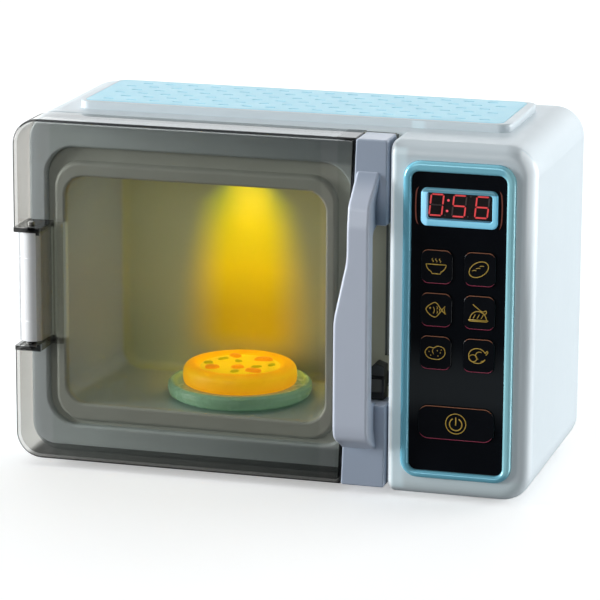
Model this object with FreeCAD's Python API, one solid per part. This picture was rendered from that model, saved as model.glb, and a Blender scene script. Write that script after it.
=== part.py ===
import FreeCAD, Part
import os
import math
from FreeCAD import Vector as V

os.makedirs("parts", exist_ok=True)

# ---------------------------------------------------------------- dimensions
# Working frame, millimetres: x = 0 at the left side, y = 0 at the plane of the
# control panel and the door's front, z = 0 at the lower edge of the door.
# Every piece is shifted by SHIFT when it is written, so the finished object
# stands on z = 0 with its box centred over the origin.
W = 300.0            # casing width
H = 196.7            # top of the casing without its plinth
Y_FRONT = 27.0       # front face of the casing behind the door
Y_SPLIT = 124.0      # parting plane between casing and rear cover
Y_BACK = 142.0       # back face
T = 2.5              # casing wall
R_CORNER = 17.0      # casing corner radius seen from the front
X_PANEL = 218.6      # left flank of the control block
GRIP_OUT = 14.0      # grip stands this far in front of y = 0
SKIRT = 2.5          # the casing reaches this far below the door's lower edge
FOOT_H = 4.0         # feet reach this far below z = 0

PLINTH = (25.5, 276.4, 39.3, 112.4)      # x0 x1 y0 y1
PLINTH_H = 4.6
PLATE_UP = 0.2       # the top plate stands proud by this much
PLATE_IN = (28.2, 271.6, 41.9, 109.8)    # recess for the blue top plate

# cavity
OPEN = (10.4, 189.6, 13.5, 176.5)        # casing opening x0 x1 z0 z1
COLLAR = (14.0, 182.0, 15.0, 168.9)
CAV = (21.0, 175.0, 26.3, 159.5)
CAV_BACK = (27.0, 169.0)
Y_FLANGE = 31.5
Y_COLLAR = 28.0
Y_CAVBACK = 118.0
T_LINER = 2.0

# door
T_DOOR = 2.2
D_DOOR = 25.0
R_DOOR = 15.0
STRIP_TOP = 199.4    # left edge of the handle strip at the top
STRIP_BOT = 192.3    # and at the bottom
X_DOOR_R = 217.2
Y_FLG = 19.9         # recessed flange behind the handle
HINGE = (6.5, 12.0)
HINGE_Z = (65.5, 131.5)
NOTCH_X = 13.5
PIN_R = 2.0
RUN = 0.05           # radial running clearance

# control panel
XC = 257.8
RIM_O = (226.4, 289.2, 8.3, 186.8)
RIM_I = (231.0, 284.3, 12.4, 180.9)
RIM_Y = -2.2         # crown of the rim
KEY_W, KEY_H, KEY_R = 17.8, 19.2, 4.2
KEY_DX, KEY_Z = 12.1, (128.4, 104.2, 80.0)
POWER = (43.2, 19.2, 40.5, 6.0)          # w, h, z centre, corner radius
BEZEL = (236.4, 279.2, 151.0, 172.2)
WINDOW = (239.4, 276.2, 154.6, 169.6)
KEY_PROUD = 0.9
FASCIA_Y = 0.3
TRAVEL = 1.0

# turntable and gear train
TT = (112.0, 72.0)
PLATE_R = 42.0
PIZZA_R = 33.7
PLATE_Z0 = 27.3
PLATE_Z1 = 36.2
M1, M2 = 0.5, 0.6
Z_SMALL, Z_MID, Z_OUT = 12, 42, 48

LAMP = (107.0, 92.0)

SHIFT = V(-W / 2.0, -(Y_BACK - GRIP_OUT) / 2.0, FOOT_H)


# ------------------------------------------------------------------- helpers
def box(x0, x1, y0, y1, z0, z1):
    return Part.makeBox(x1 - x0, y1 - y0, z1 - z0, V(x0, y0, z0))


def cyl(x, y, z, r, h, d=(0, 0, 1)):
    return Part.makeCylinder(r, h, V(x, y, z), V(*d))


def cone(x, y, z, r0, r1, h, d=(0, 0, 1)):
    return Part.makeCone(r0, r1, h, V(x, y, z), V(*d))


def outline(pts, radii, to3d):
    """Closed wire along a polygon whose corners are rounded by radii."""
    n = len(pts)
    if not isinstance(radii, (list, tuple)):
        radii = [radii] * n
    corner = []
    for i in range(n):
        p0, p, p1 = (V(q[0], q[1], 0) for q in (pts[i - 1], pts[i], pts[(i + 1) % n]))
        r = radii[i]
        if r <= 0:
            corner.append((p, p, None))
            continue
        a = (p0 - p).normalize()
        b = (p1 - p).normalize()
        ang = math.acos(max(-1.0, min(1.0, a.dot(b))))
        t = r / math.tan(ang / 2.0)
        bis = (a + b).normalize()
        c = p + bis * (r / math.sin(ang / 2.0))
        corner.append((p + a * t, p + b * t, c - bis * r))
    edges = []
    for i in range(n):
        t0, t1, mid = corner[i]
        if mid is not None:
            edges.append(Part.Arc(to3d(t0), to3d(mid), to3d(t1)).toShape())
        nxt = corner[(i + 1) % n][0]
        if (nxt - t1).Length > 1e-6:
            edges.append(Part.LineSegment(to3d(t1), to3d(nxt)).toShape())
    return Part.Wire(edges)


def wire_xz(pts, radii, y):
    return outline(pts, radii, lambda p: V(p.x, y, p.y))


def prism_xz(pts, radii, y0, y1):
    return Part.Face(wire_xz(pts, radii, y0)).extrude(V(0, y1 - y0, 0))


def prism_xy(pts, radii, z0, z1):
    w = outline(pts, radii, lambda p: V(p.x, p.y, z0))
    return Part.Face(w).extrude(V(0, 0, z1 - z0))


def prism_yz(pts, radii, x0, x1):
    w = outline(pts, radii, lambda p: V(x0, p.x, p.y))
    return Part.Face(w).extrude(V(x1 - x0, 0, 0))


def rect(a0, a1, b0, b1):
    return [(a0, b0), (a1, b0), (a1, b1), (a0, b1)]


def rr(x0, x1, z0, z1, r, y0, y1):
    return prism_xz(rect(x0, x1, z0, z1), r, y0, y1)


def loft_rr(a, ra, ya, b, rb, yb):
    wa = wire_xz(rect(*a), ra, ya)
    wb = wire_xz(rect(*b), rb, yb)
    return Part.makeLoft([wa, wb], True, True)


def on_plane(e, axis, val, tol=1e-3):
    bb = e.BoundBox
    lo, hi = {"x": (bb.XMin, bb.XMax), "y": (bb.YMin, bb.YMax), "z": (bb.ZMin, bb.ZMax)}[axis]
    return abs(lo - val) < tol and abs(hi - val) < tol


def soften(shape, r, pick):
    edges = [e for e in shape.Edges if pick(e)]
    if not edges:
        print("no edges for fillet", r)
        return shape
    try:
        s = shape.makeFillet(r, edges)
        if s.isValid() and abs(s.Volume - shape.Volume) < 0.5 * shape.Volume:
            return s
    except Exception as exc:
        print("fillet left out", r, exc)
    return shape


def fuse(shapes):
    s = shapes[0].fuse(shapes[1:]) if len(shapes) > 1 else shapes[0]
    return s.removeSplitter()


def screw(x, y, z, d, head_r=2.4, head_h=1.5, shank_r=1.2, length=8.0):
    """Pan-head screw: head seat at the point, shank along d, cross recess."""
    dv = V(*d)
    s = Part.makeCylinder(shank_r, length - 1.2, V(x, y, z), dv)
    tip = Part.makeCone(shank_r, shank_r * 0.35, 1.2, V(x, y, z) + dv * (length - 1.2), dv)
    head = Part.makeCylinder(head_r, head_h, V(x, y, z) - dv * head_h, dv)
    rim = [e for e in head.Edges if abs(e.CenterOfMass.dot(dv) - (V(x, y, z) - dv * head_h).dot(dv)) < 1e-6]
    head = head.makeFillet(head_h * 0.45, rim)
    s = s.fuse([tip, head])
    w, l, h = head_r * 0.30, head_r * 1.25, head_h * 0.55
    c = V(x, y, z) - dv * head_h
    for flip in (0, 1):
        if abs(dv.y) > 0.5:
            dx, dz = (w, l) if flip else (l, w)
            y0, y1 = sorted((c.y - 1.0 * dv.y, c.y + h * dv.y))
            s = s.cut(box(c.x - dx / 2, c.x + dx / 2, y0, y1, c.z - dz / 2, c.z + dz / 2))
        else:
            dx, dy = (w, l) if flip else (l, w)
            z0, z1 = sorted((c.z - 1.0 * dv.z, c.z + h * dv.z))
            s = s.cut(box(c.x - dx / 2, c.x + dx / 2, c.y - dy / 2, c.y + dy / 2, z0, z1))
    return s


def gear(cx, cy, z0, h, teeth, m, tooth_at, bore, slack=0.10, alpha=math.radians(25)):
    """Spur gear on a vertical axis with one tooth centred at angle tooth_at."""
    r = m * teeth / 2.0
    rb = r * math.cos(alpha)
    ra = r + 0.92 * m
    rf = r - 1.22 * m
    inv = lambda a: math.tan(a) - a
    half = math.pi / (2 * teeth) - slack / (2 * r)

    def half_at(rad):
        if rad <= rb:
            return half + inv(alpha)
        return half + inv(alpha) - inv(math.acos(rb / rad))

    radii = [rf, max(rb, rf + 0.02)] + [max(rb, rf) + (ra - max(rb, rf)) * k / 4.0 for k in range(1, 5)]
    if radii[1] - radii[0] < 0.03:
        radii = radii[1:]
        radii[0] = rf
    pts = []
    for k in range(teeth):
        c = tooth_at + 2 * math.pi * k / teeth
        for rad in radii:
            a = c - half_at(max(rad, rb))
            pts.append(V(cx + rad * math.cos(a), cy + rad * math.sin(a), z0))
        for rad in reversed(radii):
            a = c + half_at(max(rad, rb))
            pts.append(V(cx + rad * math.cos(a), cy + rad * math.sin(a), z0))
    w = Part.makePolygon(pts + [pts[0]])
    s = Part.Face(w).extrude(V(0, 0, h))
    if bore:
        s = s.cut(cyl(cx, cy, z0 - 1, bore, h + 2))
    return s


written = {}


def put(name, shape):
    shape = shape.copy()
    shape.translate(SHIFT)
    ok = shape.isValid()
    written[name] = (len(shape.Solids), shape.Volume / 1000.0, ok)
    if not ok or shape.Volume <= 0 or not shape.Solids:
        print("CHECK", name, "valid", ok, "solids", len(shape.Solids), "volume", shape.Volume)
    shape.exportStep("parts/%s.step" % name)


def group(shapes):
    return Part.makeCompound(shapes)


def strip_x(z):
    return STRIP_BOT + (STRIP_TOP - STRIP_BOT) * z / H


# ------------------------------------------------------------- main casing
main = rr(0, W, -SKIRT, H, R_CORNER, Y_FRONT, Y_SPLIT)
main = soften(main, 1.8, lambda e: on_plane(e, "y", Y_FRONT))
block = prism_xz(rect(X_PANEL - 40, W, -SKIRT, H), [0, R_CORNER, R_CORNER, 0], 0, Y_FRONT + 12)
block = soften(block, 7.5, lambda e: on_plane(e, "y", 0) and e.BoundBox.XMax > X_PANEL - 39)
block = block.common(box(X_PANEL, W + 1, -1, Y_FRONT + 12, -SKIRT - 1, H + 1))
block = soften(block, 4.0, lambda e: on_plane(e, "x", X_PANEL) and not on_plane(e, "y", Y_FRONT + 12))
px0, px1, py0, py1 = PLINTH
plinth = prism_xy(rect(px0, px1, py0, py1), 7.0, H - 1.0, H + PLINTH_H)
plinth = soften(plinth, 1.0, lambda e: on_plane(e, "z", H + PLINTH_H))
casing = main.fuse([block, plinth]).removeSplitter()

hollow = rr(T, W - T, T, H - T, R_CORNER - T, Y_FRONT + T, Y_SPLIT + 5)
hollow_b = prism_xz(rect(X_PANEL + T, W - T, T, H - T), [1.0, R_CORNER - T, R_CORNER - T, 1.0], 2.8, Y_FRONT + T + 5)
hollow_b = soften(hollow_b, 4.5, lambda e: on_plane(e, "y", 2.8) and e.BoundBox.XMax > X_PANEL + T + 0.5)
casing = casing.cut(hollow.fuse(hollow_b))
# the underside is recessed inside a low skirt
under = box(R_CORNER + 2, W - R_CORNER - 2, Y_FRONT + 4, Y_SPLIT + 1, -SKIRT - 1, 0)
under = under.fuse(box(X_PANEL + 6, W - R_CORNER - 2, 10, Y_FRONT + 5, -SKIRT - 1, 0))
casing = casing.cut(under)

# opening behind the door, with its return lip that the liner's flange meets
ox0, ox1, oz0, oz1 = OPEN
lip = rr(ox0 - 2, ox1 + 2, oz0 - 2, oz1 + 2, 19.0, Y_FRONT + T - 0.6, Y_FLANGE)
casing = casing.fuse(lip).cut(rr(ox0, ox1, oz0, oz1, 17.0, Y_FRONT - 3, Y_FLANGE + 3)).removeSplitter()
casing = soften(casing, 1.6, lambda e: on_plane(e, "y", Y_FRONT) and e.BoundBox.XMin > 9 and e.BoundBox.XMax < 191
                and e.BoundBox.ZMin > 12 and e.BoundBox.ZMax < 178)

# recess of the top plate
qx0, qx1, qy0, qy1 = PLATE_IN
casing = casing.cut(prism_xy(rect(qx0, qx1, qy0, qy1), 5.0, H + PLINTH_H - 2.0, H + PLINTH_H + 3))
# opening of the control panel
casing = casing.cut(rr(RIM_O[0] - 0.1, RIM_O[1] + 0.1, RIM_O[2] - 0.1, RIM_O[3] + 0.1, 10.1, -2, 6))
# slot of the door latch
casing = casing.cut(box(206.4, 216.0, Y_FRONT - 1, Y_FRONT + T + 1, 52.4, 66.2))

# screw posts for the rear cover, ribbed to the walls
POSTS = [(16, 16), (W - 16, 16), (16, H - 16), (W - 16, H - 16), (190, 16), (150, H - 16)]
POST_Y = 76.0
extra = []
for (px, pz) in POSTS:
    p = cyl(px, POST_Y, pz, 4.4, Y_SPLIT - POST_Y, (0, 1, 0))
    if px < 50:
        p = p.fuse(box(1.5, px, POST_Y, Y_SPLIT - 3, pz - 1, pz + 1))
    elif px > 250:
        p = p.fuse(box(px, W - 1.5, POST_Y, Y_SPLIT - 3, pz - 1, pz + 1))
    if pz < 50:
        p = p.fuse(box(px - 1, px + 1, POST_Y, Y_SPLIT - 3, 1.5, pz))
    else:
        p = p.fuse(box(px - 1, px + 1, POST_Y, Y_SPLIT - 3, pz, H - 1.5))
    extra.append(p)
casing = casing.fuse(extra)
for (px, pz) in POSTS:
    casing = casing.cut(cyl(px, Y_SPLIT - 16, pz, 1.25, 20, (0, 1, 0)))

# seats of the feet and holes of the hinge bracket's screws
FEET = [(30, 44), (272, 18), (30, 110), (270, 110)]
for (fx, fy) in FEET:
    casing = casing.fuse(cyl(fx, fy, T - 0.5, 9.0, 2.0)).cut(cyl(fx, fy, -1, 7.1, 2.4))
HS = [(6.0, 84.0), (6.0, 113.0)]
for (hx, hz) in HS:
    casing = casing.cut(cyl(hx, Y_FRONT - 1, hz, 1.25, T + 2, (0, 1, 0)))
# bosses that take the liner's lugs
LUGS = [(197.0, 60.0), (197.0, 140.0), (60.0, 184.0), (140.0, 184.0)]
for (lx, lz) in LUGS:
    casing = casing.fuse(cyl(lx, Y_FRONT + T - 0.5, lz, 3.6, Y_FLANGE - Y_FRONT - T + 0.5, (0, 1, 0)))
    casing = casing.cut(cyl(lx, Y_FRONT + 0.9, lz, 1.05, 8, (0, 1, 0)))
casing = casing.removeSplitter()
put("main_casing", casing)

# ------------------------------------------------------------- rear cover
rear = rr(0, W, -SKIRT, H, R_CORNER, Y_SPLIT, Y_BACK)
rear = soften(rear, 14.0, lambda e: on_plane(e, "y", Y_BACK))
rin = rr(T, W - T, T, H - T, R_CORNER - T, Y_SPLIT - 1, Y_BACK - T)
rin = soften(rin, 11.5, lambda e: on_plane(e, "y", Y_BACK - T))
rear = rear.cut(rin)
tubes, bores = [], []
for (px, pz) in POSTS:
    tubes.append(cyl(px, Y_SPLIT, pz, 4.6, Y_BACK - Y_SPLIT - 0.5, (0, 1, 0)))
    bores.append(cyl(px, Y_SPLIT - 1, pz, 1.3, 30, (0, 1, 0)))
    bores.append(cyl(px, Y_SPLIT + 3.0, pz, 3.0, 30, (0, 1, 0)))
solid_rear = rr(0, W, -SKIRT, H, R_CORNER, Y_SPLIT, Y_BACK)
solid_rear = soften(solid_rear, 14.0, lambda e: on_plane(e, "y", Y_BACK))
tubes = [t.common(solid_rear) for t in tubes]
rear = rear.fuse(tubes).cut(bores[0].fuse(bores[1:]))

# battery opening
BAT = (222.4, 284.4, 27.0, 79.0)
rear = rear.cut(rr(BAT[0], BAT[1], BAT[2], BAT[3], 3.0, Y_BACK - T - 1, Y_BACK + 1))
# sound grille: rows of short slots in front of the loudspeaker
SPK = (258.0, 126.0)
slots = []
for i in range(-3, 4):
    half = math.sqrt(max(0.0, 17.0 ** 2 - (i * 5.0) ** 2))
    for (a, b) in ((-half, -1.6), (1.6, half)):
        slots.append(rr(SPK[0] + a, SPK[0] + b, SPK[1] + i * 5.0 - 1.1, SPK[1] + i * 5.0 + 1.1, 1.09, Y_BACK - T - 1, Y_BACK + 1))
rear = rear.cut(slots[0].fuse(slots[1:]))
# cooling slots behind the cavity
vents = []
for i in range(9):
    for j in range(2):
        cx = 62 + i * 11.0
        cz = 128.0 - j * 42.0
        vents.append(rr(cx - 1.6, cx + 1.6, cz - 16, cz + 16, 1.59, Y_BACK - 1.2, Y_BACK + 1))
rear = rear.cut(vents[0].fuse(vents[1:]))
# ring that holds the loudspeaker
ring = cyl(SPK[0], Y_BACK - T - 5.0, SPK[1], 22.5, 5.5, (0, 1, 0)).cut(cyl(SPK[0], Y_BACK - T - 6, SPK[1], 20.6, 8, (0, 1, 0)))
ring = ring.common(solid_rear)
rear = rear.fuse(ring.cut(cyl(SPK[0], Y_BACK - T, SPK[1], 19, 5, (0, 1, 0)))).removeSplitter()
put("rear_cover", rear)
put("rear_cover_screws", group([screw(px, Y_SPLIT + 3.0, pz, (0, -1, 0), 2.7, 1.7, 1.2, 14) for (px, pz) in POSTS]))

# --------------------------------------------------------------- top plate
plate = prism_xy(rect(qx0 + 0.15, qx1 - 0.15, qy0 + 0.15, qy1 - 0.15), 4.85, H + PLINTH_H - 2.0, H + PLINTH_H + PLATE_UP)
plate = soften(plate, 0.5, lambda e: on_plane(e, "z", H + PLINTH_H + PLATE_UP))
dash = []
rows, cols = 6, 17
for j in range(rows):
    for i in range(cols):
        cx = qx0 + 12.0 + i * 13.7 + (6.85 if j % 2 else 0.0)
        cy = qy0 + 8.2 + j * 10.3
        if cx + 4 > qx1 - 6:
            continue
        dash.append(prism_xy(rect(cx - 3.2, cx + 3.2, cy - 0.9, cy + 0.9), 0.89, H + PLINTH_H + PLATE_UP - 0.3, H + PLINTH_H + 2))
plate = plate.cut(dash[0].fuse(dash[1:]))
put("top_plate", plate)

# ------------------------------------------------------------ cavity liner
flange = rr(ox0 - 1.8, ox1 + 1.8, oz0 - 1.8, oz1 + 1.8, 18.8, Y_FLANGE, Y_FLANGE + T_LINER)
for (lx, lz) in LUGS:
    lug = cyl(lx, Y_FLANGE, lz, 4.0, T_LINER, (0, 1, 0))
    if lx > 190:
        lug = lug.fuse(box(ox1 - 1, lx, Y_FLANGE, Y_FLANGE + T_LINER, lz - 4, lz + 4))
    else:
        lug = lug.fuse(box(lx - 4, lx + 4, Y_FLANGE, Y_FLANGE + T_LINER, oz1 - 1, lz))
    flange = flange.fuse(lug.cut(cyl(lx, Y_FLANGE - 1, lz, 1.25, 6, (0, 1, 0))))
collar = loft_rr(COLLAR, 16.0, Y_FLANGE + 1.0, (COLLAR[0] + 1.2, COLLAR[1] - 1.2, COLLAR[2] + 1.6, COLLAR[3] - 1.6), 15.0, Y_COLLAR)
collar = soften(collar, 2.2, lambda e: on_plane(e, "y", Y_COLLAR))
c0 = CAV
cb = (CAV_BACK[0], CAV_BACK[1], CAV[2], CAV[3])
tl = T_LINER
tub = loft_rr((c0[0] - tl, c0[1] + tl, c0[2] - tl, c0[3] + tl), 14.0, Y_FLANGE,
              (cb[0] - tl, cb[1] + tl, cb[2] - tl, cb[3] + tl), 14.0, Y_CAVBACK + tl)
room = loft_rr(c0, 12.0, Y_COLLAR, cb, 12.0, Y_CAVBACK)
room = soften(room, 4.5, lambda e: on_plane(e, "y", Y_CAVBACK))
mouth = rr(c0[0], c0[1], c0[2], c0[3], 12.0, Y_COLLAR - 2, Y_COLLAR + 0.01)
liner = flange.fuse([collar, tub]).cut(room.fuse(mouth)).removeSplitter()
liner = soften(liner, 1.6, lambda e: on_plane(e, "y", Y_COLLAR) and e.BoundBox.XMin > 19 and e.BoundBox.XMax < 177
               and e.BoundBox.ZMin > 24.5 and e.BoundBox.ZMax < 161)
# spindle hole with a low collar, lamp hole, board posts over the lamp
liner = liner.cut(cyl(TT[0], TT[1], 20, 5.0, 12))
liner = liner.cut(cyl(LAMP[0], LAMP[1], 155, 7.15, 12))
for dx in (-14.0, 14.0):
    liner = liner.fuse(cyl(LAMP[0] + dx, LAMP[1], CAV[3] + tl - 0.5, 2.8, 8.5)).cut(cyl(LAMP[0] + dx, LAMP[1], CAV[3] + tl + 1, 1.05, 9))
liner = liner.removeSplitter()
put("cavity_liner", liner)
put("liner_screws", group([screw(lx, Y_FLANGE + T_LINER, lz, (0, -1, 0), 2.2, 1.4, 1.0, 5.3) for (lx, lz) in LUGS]))

# ------------------------------------------------------------------- lamp
lens = cyl(LAMP[0], LAMP[1], CAV[3] - 1.6, 7.0, 3.6 + 0.0)
lens = soften(lens, 1.5, lambda e: on_plane(e, "z", CAV[3] - 1.6))
lens = lens.fuse(cyl(LAMP[0], LAMP[1], CAV[3] + tl, 9.0, 1.4))
lens = lens.cut(cyl(LAMP[0], LAMP[1], CAV[3] - 0.2, 5.6, 6)).removeSplitter()
put("lamp_lens", lens)
zb = CAV[3] + tl + 8.0
pcb = box(LAMP[0] - 18, LAMP[0] + 18, LAMP[1] - 9, LAMP[1] + 9, zb, zb + 1.6)
for dx in (-14.0, 14.0):
    pcb = pcb.cut(cyl(LAMP[0] + dx, LAMP[1], zb - 1, 1.25, 4))
put("lamp_board", pcb)
led = cyl(LAMP[0], LAMP[1], zb - 1.0, 2.9, 1.0).fuse(cyl(LAMP[0], LAMP[1], zb - 6.2, 2.5, 5.3))
led = led.fuse(Part.makeSphere(2.5, V(LAMP[0], LAMP[1], zb - 6.2))).removeSplitter()
put("lamp_led", led)
put("lamp_board_screws", group([screw(LAMP[0] + dx, LAMP[1], zb + 1.6, (0, 0, -1), 2.2, 1.4, 1.0, 7) for dx in (-14.0, 14.0)]))

# ---------------------------------------------------------- control panel
rim = rr(RIM_O[0], RIM_O[1], RIM_O[2], RIM_O[3], 10.0, RIM_Y, 3.0)
rim = soften(rim, 2.3, lambda e: on_plane(e, "y", RIM_Y))
rim_cut = rr(RIM_I[0], RIM_I[1], RIM_I[2], RIM_I[3], 4.6, -4, 3.1)
rim = rim.cut(rim_cut)
rim = soften(rim, 1.75, lambda e: on_plane(e, "y", RIM_Y))
rfl = rr(225.0, 292.0, 7.1, 189.4, 11.0, 2.9, 4.7)
rfl = rfl.cut(rr(233.4, 281.9, 14.8, 178.5, 3.0, 2, 6))
rim = rim.fuse(rfl)
BOSS = [(228.4, 58.0), (228.4, 146.0), (287.2, 58.0), (287.2, 146.0)]
for (bx, bz) in BOSS:
    rim = rim.fuse(cyl(bx, 4.0, bz, 3.0, 10.0, (0, 1, 0))).cut(cyl(bx, 6.0, bz, 1.05, 12.0, (0, 1, 0)))
rim = rim.removeSplitter()
put("panel_rim", rim)

fascia = rr(RIM_I[0] + 0.12, RIM_I[1] - 0.12, RIM_I[2] + 0.12, RIM_I[3] - 0.12, 4.5, FASCIA_Y, 2.9)
KEYS = []
names = [("soup_key", "bread_key"), ("fish_key", "roast_key"), ("potato_key", "chicken_key")]
for row in range(3):
    for col in range(2):
        KEYS.append((names[row][col], XC + (-KEY_DX if col == 0 else KEY_DX), KEY_Z[row], KEY_W, KEY_H, KEY_R))
KEYS.append(("power_key", XC, POWER[2], POWER[0], POWER[1], POWER[3]))
for (nm, kx, kz, kw, kh, kr) in KEYS:
    fascia = fascia.cut(rr(kx - kw / 2 - 0.3, kx + kw / 2 + 0.3, kz - kh / 2 - 0.3, kz + kh / 2 + 0.3, kr + 0.3, -1, 4))
fascia = fascia.cut(rr(BEZEL[0] + 1.0, BEZEL[1] - 1.0, BEZEL[2] + 1.0, BEZEL[3] - 1.0, 2.5, -1, 4))
put("panel_fascia", fascia)

for (nm, kx, kz, kw, kh, kr) in KEYS:
    y0 = FASCIA_Y - KEY_PROUD
    cap = rr(kx - kw / 2, kx + kw / 2, kz - kh / 2, kz + kh / 2, kr, y0, 3.4)
    cap = soften(cap, 0.6, lambda e: on_plane(e, "y", y0))
    foot = rr(kx - kw / 2 - 1.1, kx + kw / 2 + 1.1, kz - kh / 2 - 1.1, kz + kh / 2 + 1.1, kr + 1.1, 3.2, 4.2)
    stem = cyl(kx, 4.0, kz, 2.6, 4.2, (0, 1, 0))
    key = cap.fuse([foot, stem]).removeSplitter()
    put(nm, key)

bez = rr(BEZEL[0], BEZEL[1], BEZEL[2], BEZEL[3], 3.4, -1.3, FASCIA_Y)
bez = soften(bez, 1.2, lambda e: on_plane(e, "y", -1.3))
bez = bez.fuse(rr(BEZEL[0] + 1.12, BEZEL[1] - 1.12, BEZEL[2] + 1.12, BEZEL[3] - 1.12, 2.4, -0.2, 3.6))
bez = bez.cut(rr(WINDOW[0], WINDOW[1], WINDOW[2], WINDOW[3], 1.6, -3, 5)).removeSplitter()
bez = soften(bez, 0.7, lambda e: on_plane(e, "y", -1.3))
put("display_bezel", bez)
win = rr(WINDOW[0] + 0.1, WINDOW[1] - 0.1, WINDOW[2] + 0.1, WINDOW[3] - 0.1, 1.5, -0.2, 1.4)
put("display_window", win)
mod = rr(WINDOW[0] + 0.3, WINDOW[1] - 0.3, WINDOW[2] + 0.3, WINDOW[3] - 0.3, 1.0, 2.4, 10.4)
pins = [cyl(XC + dx, 10.2, 162.1 + dz, 0.3, 5.6, (0, 1, 0)) for dx in (-12.7, -7.6, -2.5, 2.5, 7.6, 12.7) for dz in (-5.5, 5.5)]
mod = mod.fuse(pins).removeSplitter()
put("display_module", mod)

board = rr(224.6, 291.0, 18.0, 178.0, 2.0, 14.0, 15.6)
for (bx, bz) in BOSS:
    board = board.cut(cyl(bx, 13, bz, 1.25, 4, (0, 1, 0)))
for dx in (-12.7, -7.6, -2.5, 2.5, 7.6, 12.7):
    for dz in (-5.5, 5.5):
        board = board.cut(cyl(XC + dx, 13, 162.1 + dz, 0.35, 4, (0, 1, 0)))
put("control_board", board)
sw = []
for (nm, kx, kz, kw, kh, kr) in KEYS:
    s = rr(kx - 3, kx + 3, kz - 3, kz + 3, 0.3, 10.6, 14.0).fuse(cyl(kx, 9.5, kz, 1.7, 1.3, (0, 1, 0)))
    sw.append(s.removeSplitter())
put("key_switches", group(sw))
chip = rr(XC - 6, XC + 6, 58, 66, 0.4, 15.6, 17.2)
caps = cyl(XC + 16, 15.6, 66.0, 3.0, 8.0, (0, 1, 0))
res = [box(XC - 18 + k * 5, XC - 14.8 + k * 5, 15.6, 16.2, 52, 53.6) for k in range(6)]
put("board_components", group([chip, caps] + res))
put("control_board_screws", group([screw(bx, 15.6, bz, (0, -1, 0), 2.2, 1.4, 1.0, 8.5) for (bx, bz) in BOSS]))

# ------------------------------------------------------------------ hinge
hx, hy = HINGE
KNUCKLE = 6.65
col = cyl(hx, hy, HINGE_Z[0] + 1.4, KNUCKLE, HINGE_Z[1] - HINGE_Z[0] - 2.8).common(box(0.0, 20, 0, 40, 0, H))
arm = prism_xy([(0.0, Y_FRONT), (0.0, 7.6), (hx, 7.6), (hx + KNUCKLE - 0.1, hy), (hx + KNUCKLE - 0.1, Y_FRONT)], [0, 1.0, 0, 0, 0], HINGE_Z[0] + 1.4, HINGE_Z[1] - 1.4)
brk = col.fuse(arm).removeSplitter()
for zz in (78.6, 115.4):
    groove = cyl(hx, hy, zz - 0.25, 8.0, 0.5).cut(cyl(hx, hy, zz - 1, KNUCKLE - 0.35, 2)).cut(box(-2, 20, hy + 1, Y_FRONT + 2, zz - 2, zz + 2))
    brk = brk.cut(groove)
brk = brk.cut(cyl(hx, hy, 40, PIN_R + 0.02, 120))
for (sx, sz) in HS:
    brk = brk.cut(cyl(sx, Y_FRONT - 7.5, sz, 1.25, 8, (0, 1, 0)))
put("hinge_bracket", brk.removeSplitter())
put("hinge_bracket_screws", group([screw(sx, Y_FRONT + T, sz, (0, -1, 0), 2.1, 1.4, 1.15, 9.0) for (sx, sz) in HS]))
pin = cyl(hx, hy, HINGE_Z[0] - 4.0, PIN_R, HINGE_Z[1] - HINGE_Z[0] + 8.0)
pin = soften(pin, 0.5, lambda e: on_plane(e, "z", HINGE_Z[0] - 4.0) or on_plane(e, "z", HINGE_Z[1] + 4.0))
put("hinge_pin", pin)

# ------------------------------------------------------------------- door
GAP = 0.2
sx0, sx1 = strip_x(0) - GAP, strip_x(H) - GAP
slope = (sx1 - sx0) / H
shell_pts = [(0, 0), (sx0, 0), (sx1, H), (0, H)]
shell = prism_xz(shell_pts, [R_DOOR, 0.8, 0.8, R_DOOR], 0, D_DOOR)
shell = soften(shell, 2.0, lambda e: on_plane(e, "y", 0) and not (e.BoundBox.XMin > 150 and e.BoundBox.ZLength > 100))
td = T_DOOR
inn = [(td, td), (sx0 + slope * td - td, td), (sx1 - slope * td - td, H - td), (td, H - td)]
shell_in = prism_xz(inn, [R_DOOR - td, 0.5, 0.5, R_DOOR - td], td, D_DOOR + 2)
shell = shell.cut(shell_in)
flg = prism_xz([(sx0 - 1, 0), (X_DOOR_R, 0), (X_DOOR_R, H), (sx1 - 1, H)], [0, 0.8, 0.8, 0], Y_FLG, Y_FLG + td)
flg = flg.fuse(box(X_DOOR_R - 2.0, X_DOOR_R, Y_FLG + 1, D_DOOR, 1.0, H - 1.0))
# the flange steps back along the finger gap, with its own return wall
flg = flg.cut(box(212.0, X_DOOR_R + 1, Y_FLG - 1, D_DOOR + 1, 71.0, 147.0))
flg = flg.fuse(box(210.0, 212.0, Y_FLG + 1, D_DOOR, 69.0, 149.0)).removeSplitter()
shell = shell.fuse(flg)
# hinge notch with its ledges and inner wall
nz0, nz1 = HINGE_Z
full = prism_xz(shell_pts, [R_DOOR, 0.8, 0.8, R_DOOR], 0, D_DOOR)
shell = shell.cut(box(-1, NOTCH_X, -1, D_DOOR + 1, nz0, nz1))
ledges = [box(0.0, NOTCH_X + td, 0.0, D_DOOR, nz0 - 2.5, nz0), box(0.0, NOTCH_X + td, 0.0, D_DOOR, nz1, nz1 + 2.5),
          box(NOTCH_X, NOTCH_X + td, 0.0, D_DOOR, nz0 - 2.5, nz1 + 2.5),
          box(NOTCH_X + td - 0.1, 22.0, 20.0, 22.0, nz0 - 2.5, nz1 + 2.5),
          cyl(hx, hy, nz0 - 0.1, 4.6, 1.1), cyl(hx, hy, nz1 - 1.0, 4.6, 1.1)]
ledges[0] = soften(ledges[0], 1.2, lambda e: on_plane(e, "x", 0) and on_plane(e, "y", 0))
ledges[1] = soften(ledges[1], 1.2, lambda e: on_plane(e, "x", 0) and on_plane(e, "y", 0))
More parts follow.
